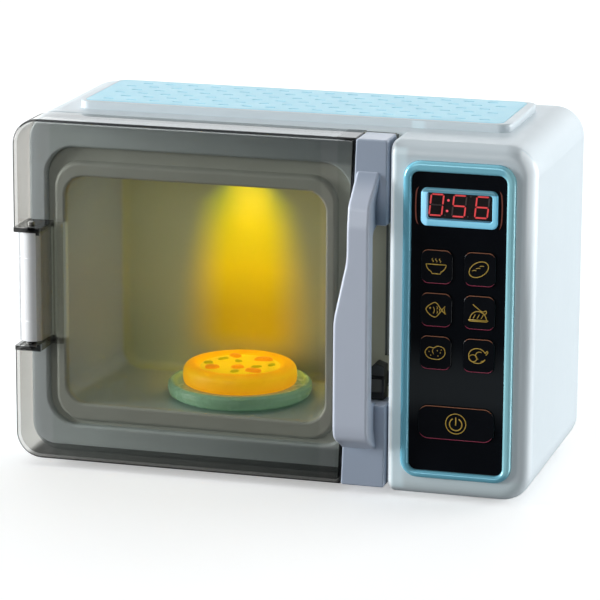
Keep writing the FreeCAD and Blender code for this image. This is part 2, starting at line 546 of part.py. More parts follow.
shell = shell.fuse(ledges).cut(cyl(hx, hy, nz0 - 10, PIN_R + RUN, nz1 - nz0 + 20))
# holes of the handle screws and of the latch tail
HSC = [(208.5, 160.0), (208.5, 188.0), (205.0, 10.0), (205.0, 38.0)]
for (ax, az) in HSC:
    shell = shell.cut(cyl(ax, Y_FLG - 1, az, 1.35, td + 2, (0, 1, 0)))
shell = shell.cut(box(207.6, 214.4, Y_FLG - 1, Y_FLG + td + 1, 53.6, 62.4)).removeSplitter()
put("door_shell", shell)

ye = Y_FLG - 0.1
up = prism_xz([(strip_x(149), 149), (X_DOOR_R, 149), (X_DOOR_R, H), (strip_x(H), H)], [0.8, 0.8, 1.6, 1.6], 0, ye)
lo = prism_xz([(strip_x(0), 0), (X_DOOR_R, 0), (X_DOOR_R, 47), (strip_x(47), 47)], [1.2, 1.6, 0.8, 0.8], 0, ye)
up = soften(up, 1.0, lambda e: on_plane(e, "y", 0))
lo = soften(lo, 1.0, lambda e: on_plane(e, "y", 0))
side = prism_yz([(9, 180.0), (0.6, 180.0), (-12.4, 160.5), (-GRIP_OUT, 150.0), (-GRIP_OUT, 36.0), (-12.6, 29.5), (0.6, 21.4), (9, 21.4),
                 (9, 46.0), (-5.4, 50.5), (-5.4, 145.5), (9, 150.0)],
                [0, 5, 7, 20, 20, 7, 5, 0, 0, 4, 4, 0], 180, 222)
front = prism_xz([(193.0, 14.0), (192.9, 20.0), (190.9, 31.5), (190.9, 97.0), (198.1, 131.0), (198.3, 162.0), (199.8, 177.0), (199.8, 184.0),
                  (213.6, 184.0), (213.2, 176.0), (211.0, 162.5), (211.1, 33.0), (212.8, 20.0), (212.8, 14.0)][::-1],
                 [0, 10, 10, 6, 5, 0, 0, 10, 10, 45, 45, 6, 6, 0], -30, 30)
grip = side.common(front)
grip = soften(grip, 1.8, lambda e: e.BoundBox.YMax < 2.0 and e.BoundBox.YMin > -GRIP_OUT - 0.1 and e.BoundBox.ZLength > 2.0
              and e.BoundBox.YMin < -6.0 and e.CenterOfMass.y < -3.0 and not (e.BoundBox.XLength > 8))
grip = soften(grip, 1.0, lambda e: on_plane(e, "y", -5.4) and e.BoundBox.ZLength > 2.0 and e.BoundBox.XLength < 9)
# the grip stays clear of the smoked panel beside the strip
grip = grip.cut(prism_xz([(150, -5), (strip_x(-5), -5), (strip_x(205), 205), (150, 205)], 0, -0.5, 30))
handle = up.fuse([lo, grip]).removeSplitter()
# the two end blocks are hollow behind, around a pair of screw posts each
pk_up = prism_xz([(strip_x(149) + 2.4, 151.4), (X_DOOR_R - 2.4, 151.4), (X_DOOR_R - 2.4, H - 2.4), (strip_x(H) + 2.4, H - 2.4)], 1.0, 10.0, ye + 1)
pk_lo = prism_xz([(strip_x(0) + 2.4, 2.4), (X_DOOR_R - 2.4, 2.4), (X_DOOR_R - 2.4, 44.6), (strip_x(47) + 2.4, 44.6)], 1.0, 10.0, ye + 1)
posts = [cyl(ax, 9.0, az, 3.2, ye - 9.0, (0, 1, 0)) for (ax, az) in HSC]
handle = handle.cut(pk_up.fuse(pk_lo)).fuse(posts)
for (ax, az) in HSC:
    handle = handle.cut(cyl(ax, 8.0, az, 1.25, ye, (0, 1, 0)))
handle = handle.removeSplitter()
put("door_handle", handle)
put("handle_screws", group([screw(ax, Y_FLG + td, az, (0, -1, 0), 2.4, 1.5, 1.2, 12.0) for (ax, az) in HSC]))

# black latch block in the finger gap, its tail passing through the flange
lb = prism_xz([(205.2, 47.3), (213.8, 47.3), (213.8, 66.6), (208.6, 68.4), (205.2, 64.8)], [0.6, 0.6, 0.8, 1.0, 0.6], 11.0, ye)
lb = soften(lb, 0.6, lambda e: on_plane(e, "y", 11.0))
lb = lb.cut(rr(206.4, 212.6, 51.6, 59.2, 0.6, 10.0, 11.8)).cut(box(204, 216, 10.0, 11.9, 60.2, 61.2))
tail = prism_yz([(12.0, 54.0), (35.0, 54.0), (36.4, 56.0), (36.4, 63.0), (34.9, 64.0), (33.6, 62.0), (12.0, 62.0)], [0, 0.8, 0.8, 0.4, 0.4, 0.4, 0], 208.0, 213.2)
put("latch_hook", lb.fuse(tail).removeSplitter())
# catch inside the casing: a foot on the wall and a ridge that the hook snaps under
cat = box(204.0, 217.4, Y_FRONT + T, Y_FRONT + T + 2.0, 66.8, 76.0).fuse(box(207.0, 215.0, Y_FRONT + T, 40.0, 66.8, 69.0))
cat = cat.fuse(prism_yz([(30.2, 67.2), (31.2, 64.5), (32.2, 64.5), (33.0, 67.2)], [0, 0.4, 0.4, 0], 207.0, 215.0)).removeSplitter()
put("latch_catch", cat)

# ------------------------------------------------- turntable drive
a0 = math.radians(0.0)
cB = (TT[0] + M2 * (Z_OUT + Z_SMALL) / 2.0 * math.cos(a0), TT[1] + M2 * (Z_OUT + Z_SMALL) / 2.0 * math.sin(a0))
a1 = math.radians(72.0)
dA = M1 * (Z_MID + Z_SMALL) / 2.0
cA = (cB[0] + dA * math.cos(a1), cB[1] + dA * math.sin(a1))
a2 = math.radians(12.0)
cM = (cA[0] + dA * math.cos(a2), cA[1] + dA * math.sin(a2))
half12 = math.pi / Z_SMALL

# base plate and top plate of the gearbox with four posts
GX0, GX1, GY0, GY1 = 92.0, 166.0, 50.0, 106.0
base = prism_xy(rect(GX0, GX1, GY0, GY1), 4.0, T, T + 2.0)
base = base.fuse(cyl(TT[0], TT[1], T, 4.0, 3.0))
GP = [(GX0 + 5, GY0 + 5), (GX1 - 5, GY0 + 5), (GX0 + 5, GY1 - 5), (GX1 - 5, GY1 - 5)]
for (gx, gy) in GP:
    base = base.fuse(cyl(gx, gy, T + 1.0, 3.2, 16.0)).cut(cyl(gx, gy, T + 8, 1.05, 12.0))
base = base.cut(cyl(TT[0], TT[1], T + 0.8, 2.0 + RUN, 6))
for c in (cA, cB):
    base = base.fuse(cyl(c[0], c[1], T, 2.2, 2.6)).cut(cyl(c[0], c[1], T + 0.6, 1.0 + 0.01, 6))
base = base.fuse(cyl(cM[0], cM[1], T + 1.0, 11.4, 4.0).cut(cyl(cM[0], cM[1], T + 2.0, 10.05, 6)))
base = base.removeSplitter()
put("gearbox_base", base)
zt = T + 17.0
top = prism_xy(rect(GX0, GX1, GY0, GY1), 4.0, zt, zt + 1.8)
top = top.fuse(cyl(TT[0], TT[1], zt - 1.2, 6.4, 3.6)).cut(cyl(TT[0], TT[1], zt - 3, 4.0 + RUN, 8))
for c in (cA, cB):
    top = top.cut(cyl(c[0], c[1], zt - 2, 1.0 + 0.01, 8))
top = top.cut(cyl(cM[0], cM[1], zt - 2, 4.2, 8))
for (gx, gy) in GP:
    top = top.cut(cyl(gx, gy, zt - 2, 1.25, 8))
put("gearbox_cover", top.removeSplitter())
put("gearbox_screws", group([screw(gx, gy, zt + 1.8, (0, 0, -1), 2.2, 1.3, 1.0, 9.0) for (gx, gy) in GP]))
put("gear_shafts", group([cyl(c[0], c[1], T + 0.7, 1.0, 17.6) for c in (cA, cB)]))

# output gear and spindle in one piece; its squared head carries the plate
spin = gear(TT[0], TT[1], 6.0, 3.6, Z_OUT, M2, a0, 0)
spin = spin.fuse([cyl(TT[0], TT[1], T + 1.0, 2.0, 5.0), cyl(TT[0], TT[1], 5.7, 6.0, 4.4), cyl(TT[0], TT[1], 9.0, 4.0, 18.0),
                  prism_xy(rect(TT[0] - 3.2, TT[0] + 3.2, TT[1] - 3.2, TT[1] + 3.2), 0.6, 26.5, 31.6)]).removeSplitter()
put("turntable_spindle", spin)
gB = gear(cB[0], cB[1], 5.4, 4.8, Z_SMALL, M2, a0 + math.pi + half12, 1.0 + RUN)
gB = gB.fuse(gear(cB[0], cB[1], 10.1, 3.0, Z_MID, M1, a1, 1.0 + RUN)).removeSplitter()
put("second_gear", gB)
gA = gear(cA[0], cA[1], 9.6, 4.0, Z_SMALL, M1, a1 + math.pi + half12, 1.0 + RUN)
gA = gA.fuse([gear(cA[0], cA[1], 13.5, 3.2, Z_MID, M1, a2, 1.0 + RUN),
              cyl(cA[0], cA[1], 5.4, 2.0, 4.4).cut(cyl(cA[0], cA[1], 5, 1.0 + RUN, 6))]).removeSplitter()
put("first_gear", gA)
pn = gear(cM[0], cM[1], 13.9, 3.4, Z_SMALL, M1, a2 + math.pi + half12, 0)
pn = pn.fuse(cyl(cM[0], cM[1], 6.0, 0.75, 9.0)).removeSplitter()
put("motor_pinion", pn)
mot = cyl(cM[0], cM[1], 4.5, 10.0, 8.0)
mot = soften(mot, 0.8, lambda e: on_plane(e, "z", 12.5))
mot = mot.fuse(cyl(cM[0], cM[1], 12.0, 3.0, 1.2)).cut(cyl(cM[0], cM[1], 5.4, 0.75 + RUN, 12)).removeSplitter()
put("turntable_motor", mot)

# turntable plate: dished disc with rounded rim and a squared socket under it
r = PLATE_R
prof = [(5.4, PLATE_Z0 + 0.2), (r - 3.4, PLATE_Z0), (r - 0.8, PLATE_Z0 + 1.4), (r, PLATE_Z0 + 4.6), (r - 0.3, PLATE_Z1 - 1.6), (r - 1.8, PLATE_Z1),
        (r - 3.6, PLATE_Z1 - 0.2), (r - 5.2, PLATE_Z1 - 1.8), (0.0, PLATE_Z1 - 1.8), (0.0, PLATE_Z0 + 4.6), (5.4, PLATE_Z0 + 4.6)]
w = outline([(p[0], p[1]) for p in prof], [0.3, 2.0, 2.2, 2.2, 1.0, 0.9, 1.2, 2.0, 0, 0, 0.3], lambda p: V(TT[0] + p.x, TT[1], p.y))
disc = Part.Face(w).revolve(V(TT[0], TT[1], 0), V(0, 0, 1), 360)
sock = cyl(TT[0], TT[1], PLATE_Z0 + 0.2, 5.6, 4.6).cut(prism_xy(rect(TT[0] - 3.25, TT[0] + 3.25, TT[1] - 3.25, TT[1] + 3.25), 0.6, PLATE_Z0 - 1, PLATE_Z0 + 4.6))
disc = disc.fuse(sock).removeSplitter()
put("turntable_plate", disc)

# toy pizza: soft round slab with a raised crust
pz0 = PLATE_Z1 - 1.8 + 0.1
q = PIZZA_R
prof = [(0, pz0), (q - 2.0, pz0), (q, pz0 + 2.2), (q, pz0 + 8.4), (q - 3.4, pz0 + 12.2), (q - 8.5, pz0 + 11.4), (0, pz0 + 10.8)]
w = outline(prof, [0, 1.8, 3.0, 4.0, 3.0, 2.0, 0], lambda p: V(TT[0] + p.x, TT[1], p.y))
pizza = Part.Face(w).revolve(V(TT[0], TT[1], 0), V(0, 0, 1), 360)
put("toy_pizza", pizza)

# --------------------------------------------------------- battery and sound
bx0, bx1, bz0, bz1 = BAT
tray = box(bx0 - 1.8, bx1 + 1.8, 119.0, Y_BACK - T, bz0 - 1.8, bz1 + 1.8).cut(box(bx0 + 0.0, bx1 - 0.0, 120.8, Y_BACK, bz0 + 0.0, bz1 - 0.0))
CELLS = [bz0 + 9.6 + k * 16.4 for k in range(3)]
for k in range(1, 3):
    zz = (CELLS[k - 1] + CELLS[k]) / 2.0
    tray = tray.fuse(box(bx0 - 0.5, bx1 + 0.5, 119.5, 126.0, zz - 0.6, zz + 0.6))
tray = tray.removeSplitter()
put("battery_box", tray)
cells = []
yc = 120.8 + 7.4
for k, zz in enumerate(CELLS):
    x0 = bx0 + 5.4
    c = cyl(x0, yc, zz, 7.2, 49.2, (1, 0, 0))
    c = soften(c, 0.6, lambda e: e.BoundBox.XLength < 1e-3)
    nub = cyl(x0 + 49.0, yc, zz, 2.7, 1.3, (1, 0, 0)) if k % 2 == 0 else cyl(x0 - 1.1, yc, zz, 2.7, 1.3, (1, 0, 0))
    cells.append(c.fuse(nub).removeSplitter())
put("battery_cells", group(cells))
con = []
for k, zz in enumerate(CELLS):
    for side_i in (0, 1):
        flat = (k % 2 == 0) == (side_i == 1)
        xw = bx1 if side_i else bx0
        d = -1 if side_i else 1
        xa, xb = sorted((xw, xw + d * 0.5))
        plate_c = box(xa, xb, 122.5, 134.5, zz - 5.5, zz + 5.5)
        reach = (xw - (bx0 + 5.4 + 50.3)) if side_i else (bx0 + 5.4 - 1.1 - xw)
        reach = abs(reach) if flat else (abs(xw - (bx0 + 54.6)) if side_i else 5.4)
        reach -= 0.55
        if flat:
            bump = cone(xw + d * 0.4, yc, zz, 3.4, 2.0, reach - 0.3, (d, 0, 0))
            con.append(plate_c.fuse(bump).removeSplitter())
        else:
            rings = []
            n = 3
            for q_i in range(n):
                rr_o = 4.6 - q_i * 0.8
                xa = xw + d * (0.4 + q_i * reach / n)
                rings.append(cyl(xa, yc, zz, rr_o, reach / n + 0.06, (d, 0, 0)).cut(cyl(xa - d, yc, zz, rr_o - 1.1, reach / n + 3, (d, 0, 0))))
            con.append(plate_c.fuse(rings).removeSplitter())
put("battery_contacts", group(con))
zm = (bz0 + bz1) / 2.0
bd = rr(bx0 + 0.3, bx1 - 0.3, bz0 + 0.3, bz1 - 0.3, 2.7, Y_BACK - T + 0.2, Y_BACK)
ribs = [rr(bx0 + 6, bx0 + 12, zm - 6.8 + k * 4.0, zm - 5.2 + k * 4.0, 0.79, Y_BACK - 0.7, Y_BACK + 1) for k in range(4)]
bd = bd.cut(ribs[0].fuse(ribs[1:])).cut(cyl(bx1 - 5.5, Y_BACK - 4, zm, 1.25, 8, (0, 1, 0))).cut(cyl(bx1 - 5.5, Y_BACK - 1.2, zm, 2.6, 4, (0, 1, 0)))
put("battery_door", bd.removeSplitter())
put("battery_door_screw", screw(bx1 - 5.5, Y_BACK - 1.2, zm, (0, -1, 0), 2.2, 1.1, 1.1, 7.0))

basket = cyl(SPK[0], Y_BACK - T - 2.2, SPK[1], 20.4, 2.0, (0, 1, 0))
basket = basket.fuse([cone(SPK[0], Y_BACK - T - 9.0, SPK[1], 10.5, 17.5, 6.9, (0, 1, 0)), cyl(SPK[0], Y_BACK - T - 14.5, SPK[1], 9.5, 5.7, (0, 1, 0))])
basket = basket.cut(cone(SPK[0], Y_BACK - T - 7.5, SPK[1], 7.0, 17.2, 7.4, (0, 1, 0))).removeSplitter()
put("speaker_basket", basket)
coneo = cone(SPK[0], Y_BACK - T - 6.0, SPK[1], 6.5, 15.5, 4.9, (0, 1, 0)).cut(cone(SPK[0], Y_BACK - T - 5.4, SPK[1], 6.3, 15.5, 4.9, (0, 1, 0)))
dome = Part.makeSphere(7.0, V(SPK[0], Y_BACK - T - 9.4, SPK[1])).common(cyl(SPK[0], Y_BACK - T - 5.9, SPK[1], 6.3, 8, (0, 1, 0)))
put("speaker_cone", coneo.fuse(dome).removeSplitter())

# ------------------------------------------------------------------- leads
def lead(pts, r=0.65):
    """Insulated wire: straight runs joined by tangent arcs."""
    pts = [V(*p) for p in pts]
    edges = []
    start = pts[0]
    for i in range(1, len(pts) - 1):
        a = (pts[i - 1] - pts[i])
        b = (pts[i + 1] - pts[i])
        run = min(a.Length, b.Length)
        t = 0.45 * run
        a.normalize()
        b.normalize()
        turn = math.pi - math.acos(max(-1.0, min(1.0, a.dot(b))))
        rad = t / math.tan(turn / 2.0)
        p0 = pts[i] + a * t
        p1 = pts[i] + b * t
        bis = (a + b).normalize()
        mid = pts[i] + bis * (rad / math.cos(turn / 2.0) - rad)
        if (p0 - start).Length > 1e-6:
            edges.append(Part.LineSegment(start, p0).toShape())
        edges.append(Part.Arc(p0, mid, p1).toShape())
        start = p1
    edges.append(Part.LineSegment(start, pts[-1]).toShape())
    path = Part.Wire(edges)
    prof = Part.Wire([Part.makeCircle(r, pts[0], pts[1] - pts[0])])
    tube = path.makePipeShell([prof], True, True)
    want = math.pi * r * r * path.Length
    if abs(tube.Volume - want) > 0.03 * want:
        print("lead volume", tube.Volume, "expected", want)
    return tube


put("battery_leads", group([lead([(236, 118.9, 46), (236, 90, 46), (241, 52, 68), (240, 30, 76), (240, 15.7, 76)]),
                            lead([(242, 118.9, 62), (242, 90, 62), (248, 54, 72), (247, 30, 80), (247, 15.7, 80)])]))
put("speaker_leads", group([lead([(255, 124.9, 129), (255, 96, 129), (250, 52, 127), (252, 30, 122), (252, 15.7, 122)]),
                            lead([(261, 124.9, 123), (261, 94, 123), (256, 50, 120), (258, 28, 114), (258, 15.7, 114)])]))
put("lamp_leads", group([lead([(112, 86, zb + 1.65), (112, 86, 180), (126, 66, 186), (205, 56, 184), (236, 42, 166), (238, 30, 152), (238, 15.7, 152)]),
                         lead([(112, 98, zb + 1.65), (112, 98, 178), (127, 72, 183), (207, 62, 181), (242, 46, 163), (244, 30, 149), (244, 15.7, 149)])]))
put("motor_leads", group([lead([(157.5, 89, 10.5), (167, 89, 10.5), (182, 68, 11), (213, 52, 16), (237, 40, 28), (240, 28, 36), (240, 15.7, 36)]),
                          lead([(157.5, 86, 8.9), (166, 86, 8.9), (180, 62, 8.9), (212, 46, 13), (243, 38, 24), (247, 28, 32), (247, 15.7, 32)])]))

# -------------------------------------------------------------------- feet
feet = []
for (fx, fy) in FEET:
    f = cyl(fx, fy, -FOOT_H, 7.0, FOOT_H + 1.35)
    f = soften(f, 0.6, lambda e: on_plane(e, "z", -FOOT_H))
    feet.append(f)
put("rubber_feet", group(feet))

for k in sorted(written):
    print("%-22s solids %2d  %8.2f cm3  %s" % (k, written[k][0], written[k][1], "" if written[k][2] else "INVALID"))
print("nodes", len(written))
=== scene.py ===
import bpy
import bmesh
import math
import random
from mathutils import Vector, Matrix


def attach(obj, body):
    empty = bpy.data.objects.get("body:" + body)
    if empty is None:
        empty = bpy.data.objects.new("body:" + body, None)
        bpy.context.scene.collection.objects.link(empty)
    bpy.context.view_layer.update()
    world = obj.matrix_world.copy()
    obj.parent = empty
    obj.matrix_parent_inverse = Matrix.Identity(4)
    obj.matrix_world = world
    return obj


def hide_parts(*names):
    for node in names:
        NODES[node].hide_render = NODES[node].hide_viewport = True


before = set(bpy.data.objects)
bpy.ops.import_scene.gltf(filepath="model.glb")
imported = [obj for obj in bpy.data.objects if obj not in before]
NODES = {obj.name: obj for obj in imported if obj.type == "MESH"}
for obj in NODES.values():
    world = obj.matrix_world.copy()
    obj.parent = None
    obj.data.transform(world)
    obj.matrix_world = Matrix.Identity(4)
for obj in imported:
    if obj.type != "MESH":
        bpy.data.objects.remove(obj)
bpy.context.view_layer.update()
scene = bpy.context.scene

# Working frame in millimetres: x = 0 at the casing's left side, y = 0 at the
# plane of the door's front, z = 0 at the door's lower edge. P() gives metres
# in the frame of the part. Heights in the materials start Z_LOW above the feet.
OX, OY, OZ = -150.0, -64.0, 4.0
Z_LOW = 0.0025


def P(x, y, z):
    return Vector(((x + OX) / 1000.0, (y + OY) / 1000.0, (z + OZ) / 1000.0))


# ------------------------------------------------------------------- camera
az, el, roll = math.radians(16.13), math.radians(13.08), math.radians(0.23)
R0 = Vector((math.cos(az), math.sin(az), 0.0))
F0 = Vector((-math.sin(az) * math.cos(el), math.cos(az) * math.cos(el), -math.sin(el)))
U0 = R0.cross(F0)
R1 = R0 * math.cos(roll) + U0 * math.sin(roll)
U1 = U0 * math.cos(roll) - R0 * math.sin(roll)
FOCAL_PX = 3444.23
eye = P(138.19, 70.0, 108.91) - F0 * 1.97444
aim = (F0 * FOCAL_PX + R1 * 17.03 - U1 * 39.51).normalized()
right = (R1 - aim * R1.dot(aim)).normalized()
up = right.cross(aim)
cam_data = bpy.data.cameras.new("camera")
cam = bpy.data.objects.new("camera", cam_data)
scene.collection.objects.link(cam)
m = Matrix((right, up, -aim)).transposed().to_4x4()
m.translation = eye
cam.matrix_world = m
cam_data.sensor_fit = "HORIZONTAL"
cam_data.sensor_width = 36.0
cam_data.lens = FOCAL_PX * 36.0 / 600.0
cam_data.clip_start = 0.05
cam_data.clip_end = 60.0
scene.camera = cam

# ------------------------------------------------------------------- studio
scene.view_settings.view_transform = "Standard"
scene.view_settings.look = "None"
scene.view_settings.exposure = 0.0
scene.view_settings.gamma = 1.0


def area(name, loc, target, sx, sy, radiance, color=(1, 1, 1)):
    d = bpy.data.lights.new(name, "AREA")
    d.shape = "RECTANGLE"
    d.size, d.size_y = sx, sy
    d.energy = radiance * math.pi * sx * sy
    d.color = color
    o = bpy.data.objects.new(name, d)
    scene.collection.objects.link(o)
    o.location = loc
    o.rotation_euler = (Vector(target) - Vector(loc)).to_track_quat("-Z", "Y").to_euler()
    o.visible_camera = False
    return o


area("light_top", (0.15, 0.75, 2.3), (0.05, 0.35, 0.0), 4.2, 3.2, 0.74, (0.97, 0.99, 1.0))
area("light_right", (2.0, 1.3, 0.40), (0.1, 0.0, 0.1), 2.0, 1.3, 6.2, (0.97, 0.985, 1.0))
area("light_left", (-2.7, -0.7, 0.55), (-0.1, 0.0, 0.1), 1.4, 1.2, 19.0, (0.975, 0.99, 1.0))
area("light_front", (-0.5, -2.8, 0.8), (0.0, 0.0, 0.1), 1.4, 1.2, 3.5, (0.95, 0.985, 1.0))
area("light_back", (-0.8, 3.2, 0.9), (0.0, 0.0, 0.15), 4.0, 1.4, 1.8, (0.95, 0.98, 1.0))
area("light_low", (1.9, 0.2, -0.6), (0.1, 0.0, 0.1), 1.6, 1.0, 4.4, (0.96, 0.985, 1.0))

world = bpy.data.worlds.new("studio")
scene.world = world
world.use_nodes = True
wt = world.node_tree
wt.nodes.clear()
w_out = wt.nodes.new("ShaderNodeOutputWorld")
w_mix = wt.nodes.new("ShaderNodeMixShader")
w_path = wt.nodes.new("ShaderNodeLightPath")
w_dim = wt.nodes.new("ShaderNodeBackground")
w_dim.inputs["Color"].default_value = (0.93, 0.96, 1.0, 1)
w_dim.inputs["Strength"].default_value = 0.05
w_white = wt.nodes.new("ShaderNodeBackground")
w_white.inputs["Color"].default_value = (1, 1, 1, 1)
w_white.inputs["Strength"].default_value = 1.0
wt.links.new(w_path.outputs["Is Camera Ray"], w_mix.inputs[0])
wt.links.new(w_dim.outputs[0], w_mix.inputs[1])
wt.links.new(w_white.outputs[0], w_mix.inputs[2])
wt.links.new(w_mix.outputs[0], w_out.inputs["Surface"])


# ---------------------------------------------------------------- materials
class Mat:
    """Small helper around one node tree."""

    def __init__(self, name):
        self.m = bpy.data.materials.new(name)
        self.m.use_nodes = True
        self.t = self.m.node_tree
        self.t.nodes.clear()
        self.out = self.n("ShaderNodeOutputMaterial")
        self.co = self.n("ShaderNodeTexCoord")

    def n(self, kind, **props):
        node = self.t.nodes.new(kind)
        for k, v in props.items():
            setattr(node, k, v)
        return node

    def link(self, a, b):
        self.t.links.new(a, b)

    def noise(self, scale, detail=3.0, rough=0.55, distortion=0.0, stretch=None, dims="3D"):
        n = self.n("ShaderNodeTexNoise")
        n.noise_dimensions = dims
        n.inputs["Scale"].default_value = scale
        n.inputs["Detail"].default_value = detail
        n.inputs["Roughness"].default_value = rough
        n.inputs["Distortion"].default_value = distortion
        src = self.co.outputs["Object"]
        if stretch:
            mp = self.n("ShaderNodeMapping")
            mp.inputs["Scale"].default_value = stretch
            self.link(src, mp.inputs["Vector"])
            src = mp.outputs["Vector"]
        self.link(src, n.inputs["Vector"])
        return n

    def ramp(self, fac, stops):
        r = self.n("ShaderNodeValToRGB")
        e = r.color_ramp.elements
        while len(e) < len(stops):
            e.new(0.5)
        for el_, (pos, col) in zip(e, stops):
            el_.position = pos
            el_.color = (col[0], col[1], col[2], 1.0)
        self.link(fac, r.inputs["Fac"])
        return r.outputs["Color"]

    def span(self, fac, lo, hi, a=0.3, b=0.7):
        r = self.n("ShaderNodeMapRange")
        r.inputs["From Min"].default_value = a
        r.inputs["From Max"].default_value = b
        r.inputs["To Min"].default_value = lo
        r.inputs["To Max"].default_value = hi
        self.link(fac, r.inputs["Value"])
        return r.outputs["Result"]

    def math(self, op, *vals):
        n = self.n("ShaderNodeMath", operation=op)
        for i, v in enumerate(vals):
            if isinstance(v, (int, float)):
                n.inputs[i].default_value = v
            else:
                self.link(v, n.inputs[i])
        return n.outputs[0]

    def step(self, fac, a, b, lo=0.0, hi=1.0):
        """Soft step: lo at a, hi at b."""
        r = self.n("ShaderNodeMapRange")
        r.interpolation_type = "SMOOTHSTEP"
        r.inputs["From Min"].default_value = a
        r.inputs["From Max"].default_value = b
        r.inputs["To Min"].default_value = lo
        r.inputs["To Max"].default_value = hi
        self.link(fac, r.inputs["Value"])
        return r.outputs["Result"]

    def blend(self, fac, a, b, mode="MIX"):
        m_ = self.n("ShaderNodeMix", data_type="RGBA", blend_type=mode)
        for key, v in (("Factor", fac), ("A", a), ("B", b)):
            if isinstance(v, (int, float)):
                m_.inputs[key].default_value = v
            elif isinstance(v, tuple):
                m_.inputs[key].default_value = (v[0], v[1], v[2], 1.0)
            else:
                self.link(v, m_.inputs[key])
        return m_.outputs["Result"]

    def axes(self, which="Object"):
        n = self.n("ShaderNodeSeparateXYZ")
        self.link(self.co.outputs[which], n.inputs[0])
        z = n.outputs["Z"]
        if which == "Object":
            z = self.math("SUBTRACT", z, Z_LOW)
        return n.outputs["X"], n.outputs["Y"], z

    def bump(self, height, strength, distance, normal=None):
        b = self.n("ShaderNodeBump")
        b.inputs["Strength"].default_value = strength
        b.inputs["Distance"].default_value = distance
        self.link(height, b.inputs["Height"])
        if normal is not None:
            self.link(normal, b.inputs["Normal"])
        return b.outputs["Normal"]

    def principled(self):
        p = self.n("ShaderNodeBsdfPrincipled")
        self.link(p.outputs["BSDF"], self.out.inputs["Surface"])
        return p


def shade(c, k):
    return tuple(min(1.0, max(0.0, v * k)) for v in c)


def plastic(name, color, rough=(0.30, 0.38), vary=0.04, mottle=28.0, grain=1600.0, grain_depth=0.000012, grain_strength=0.25,
            specular=0.5, coat=0.0, coat_rough=0.08, emission=None, emission_strength=0.0, subsurface=0.0, metallic=0.0):
    """Moulded plastic: faint flow mottle, uneven sheen and a fine tool texture."""
    k = Mat(name)
    p = k.principled()
    big = k.noise(mottle, 4.0, 0.6, 0.4)
    k.link(k.ramp(big.outputs["Fac"], [(0.30, shade(color, 1.0 - vary)), (0.70, shade(color, 1.0 + vary))]), p.inputs["Base Color"])
    mid = k.noise(140.0, 3.0, 0.6)
    k.link(k.span(mid.outputs["Fac"], rough[0], rough[1]), p.inputs["Roughness"])
    fine = k.noise(grain, 2.0, 0.5)
    k.link(k.bump(fine.outputs["Fac"], grain_strength, grain_depth), p.inputs["Normal"])
    p.inputs["Specular IOR Level"].default_value = specular
    p.inputs["Metallic"].default_value = metallic
    if coat:
        p.inputs["Coat Weight"].default_value = coat
        p.inputs["Coat Roughness"].default_value = coat_rough
    if emission:
        p.inputs["Emission Color"].default_value = (*emission, 1.0)
        p.inputs["Emission Strength"].default_value = emission_strength
    if subsurface:
        p.inputs["Subsurface Weight"].default_value = subsurface
        p.inputs["Subsurface Radius"].default_value = (0.002, 0.001, 0.0006)
    return k.m


def steel(name, color, rough=(0.22, 0.38), stretch=(1, 1, 1)):
    """Zinc plated steel: bright, with fine drawn lines and cloudy passivation."""
    k = Mat(name)
    p = k.principled()
    cloud = k.noise(90.0, 4.0, 0.6)
    k.link(k.ramp(cloud.outputs["Fac"], [(0.3, shade(color, 0.82)), (0.55, color), (0.75, (color[0] * 1.06, color[1] * 1.03, color[2] * 0.94))]), p.inputs["Base Color"])
    line = k.noise(900.0, 2.0, 0.5, stretch=stretch)
    k.link(k.span(line.outputs["Fac"], rough[0], rough[1]), p.inputs["Roughness"])
    k.link(k.bump(line.outputs["Fac"], 0.2, 0.00001), p.inputs["Normal"])
    p.inputs["Metallic"].default_value = 1.0
    return k.m


white = plastic("white_abs", (0.735, 0.815, 0.855), (0.30, 0.40), 0.012, 18.0, 2200.0, 0.00001, 0.22)
# the pale blue top plate carries a faint painted blue glow
blue = plastic("pale_blue_abs", (0.465, 0.865, 0.965), (0.34, 0.44), 0.03, 30.0, 1700.0, 0.000016, 0.3, emission=(0.0, 0.35, 1.0), emission_strength=0.06)
key_gloss = plastic("key_gloss", (0.005, 0.006, 0.0085), (0.14, 0.22), 0.15, 60.0, 1500.0, 0.000006, 0.15, specular=0.28)
black = plastic("black_fine", (0.012, 0.012, 0.013), (0.38, 0.52), 0.12, 60.0, 1800.0, 0.00002, 0.4)
# the green turntable plate carries a painted glow that lightens it
green = plastic("sea_green", (0.36, 0.62, 0.42), (0.22, 0.30), 0.04, 40.0, 1500.0, 0.000005, 0.12, coat=0.2, coat_rough=0.12,
                emission=(0.26, 0.52, 0.32), emission_strength=0.15)
gear_mat = plastic("natural_acetal", (0.80, 0.79, 0.74), (0.30, 0.42), 0.03, 60.0, 1500.0, 0.00001, 0.2)
rubber = plastic("grey_rubber", (0.10, 0.10, 0.105), (0.70, 0.85), 0.10, 90.0, 1400.0, 0.00004, 0.6, specular=0.3)
wire_red = plastic("wire_pvc", (0.50, 0.04, 0.035), (0.32, 0.44), 0.08, 120.0, 1600.0, 0.00001, 0.2)
plated = steel("zinc_plated", (0.66, 0.66, 0.66))
drawn = steel("drawn_steel", (0.60, 0.60, 0.61), stretch=(1, 1, 0.06))


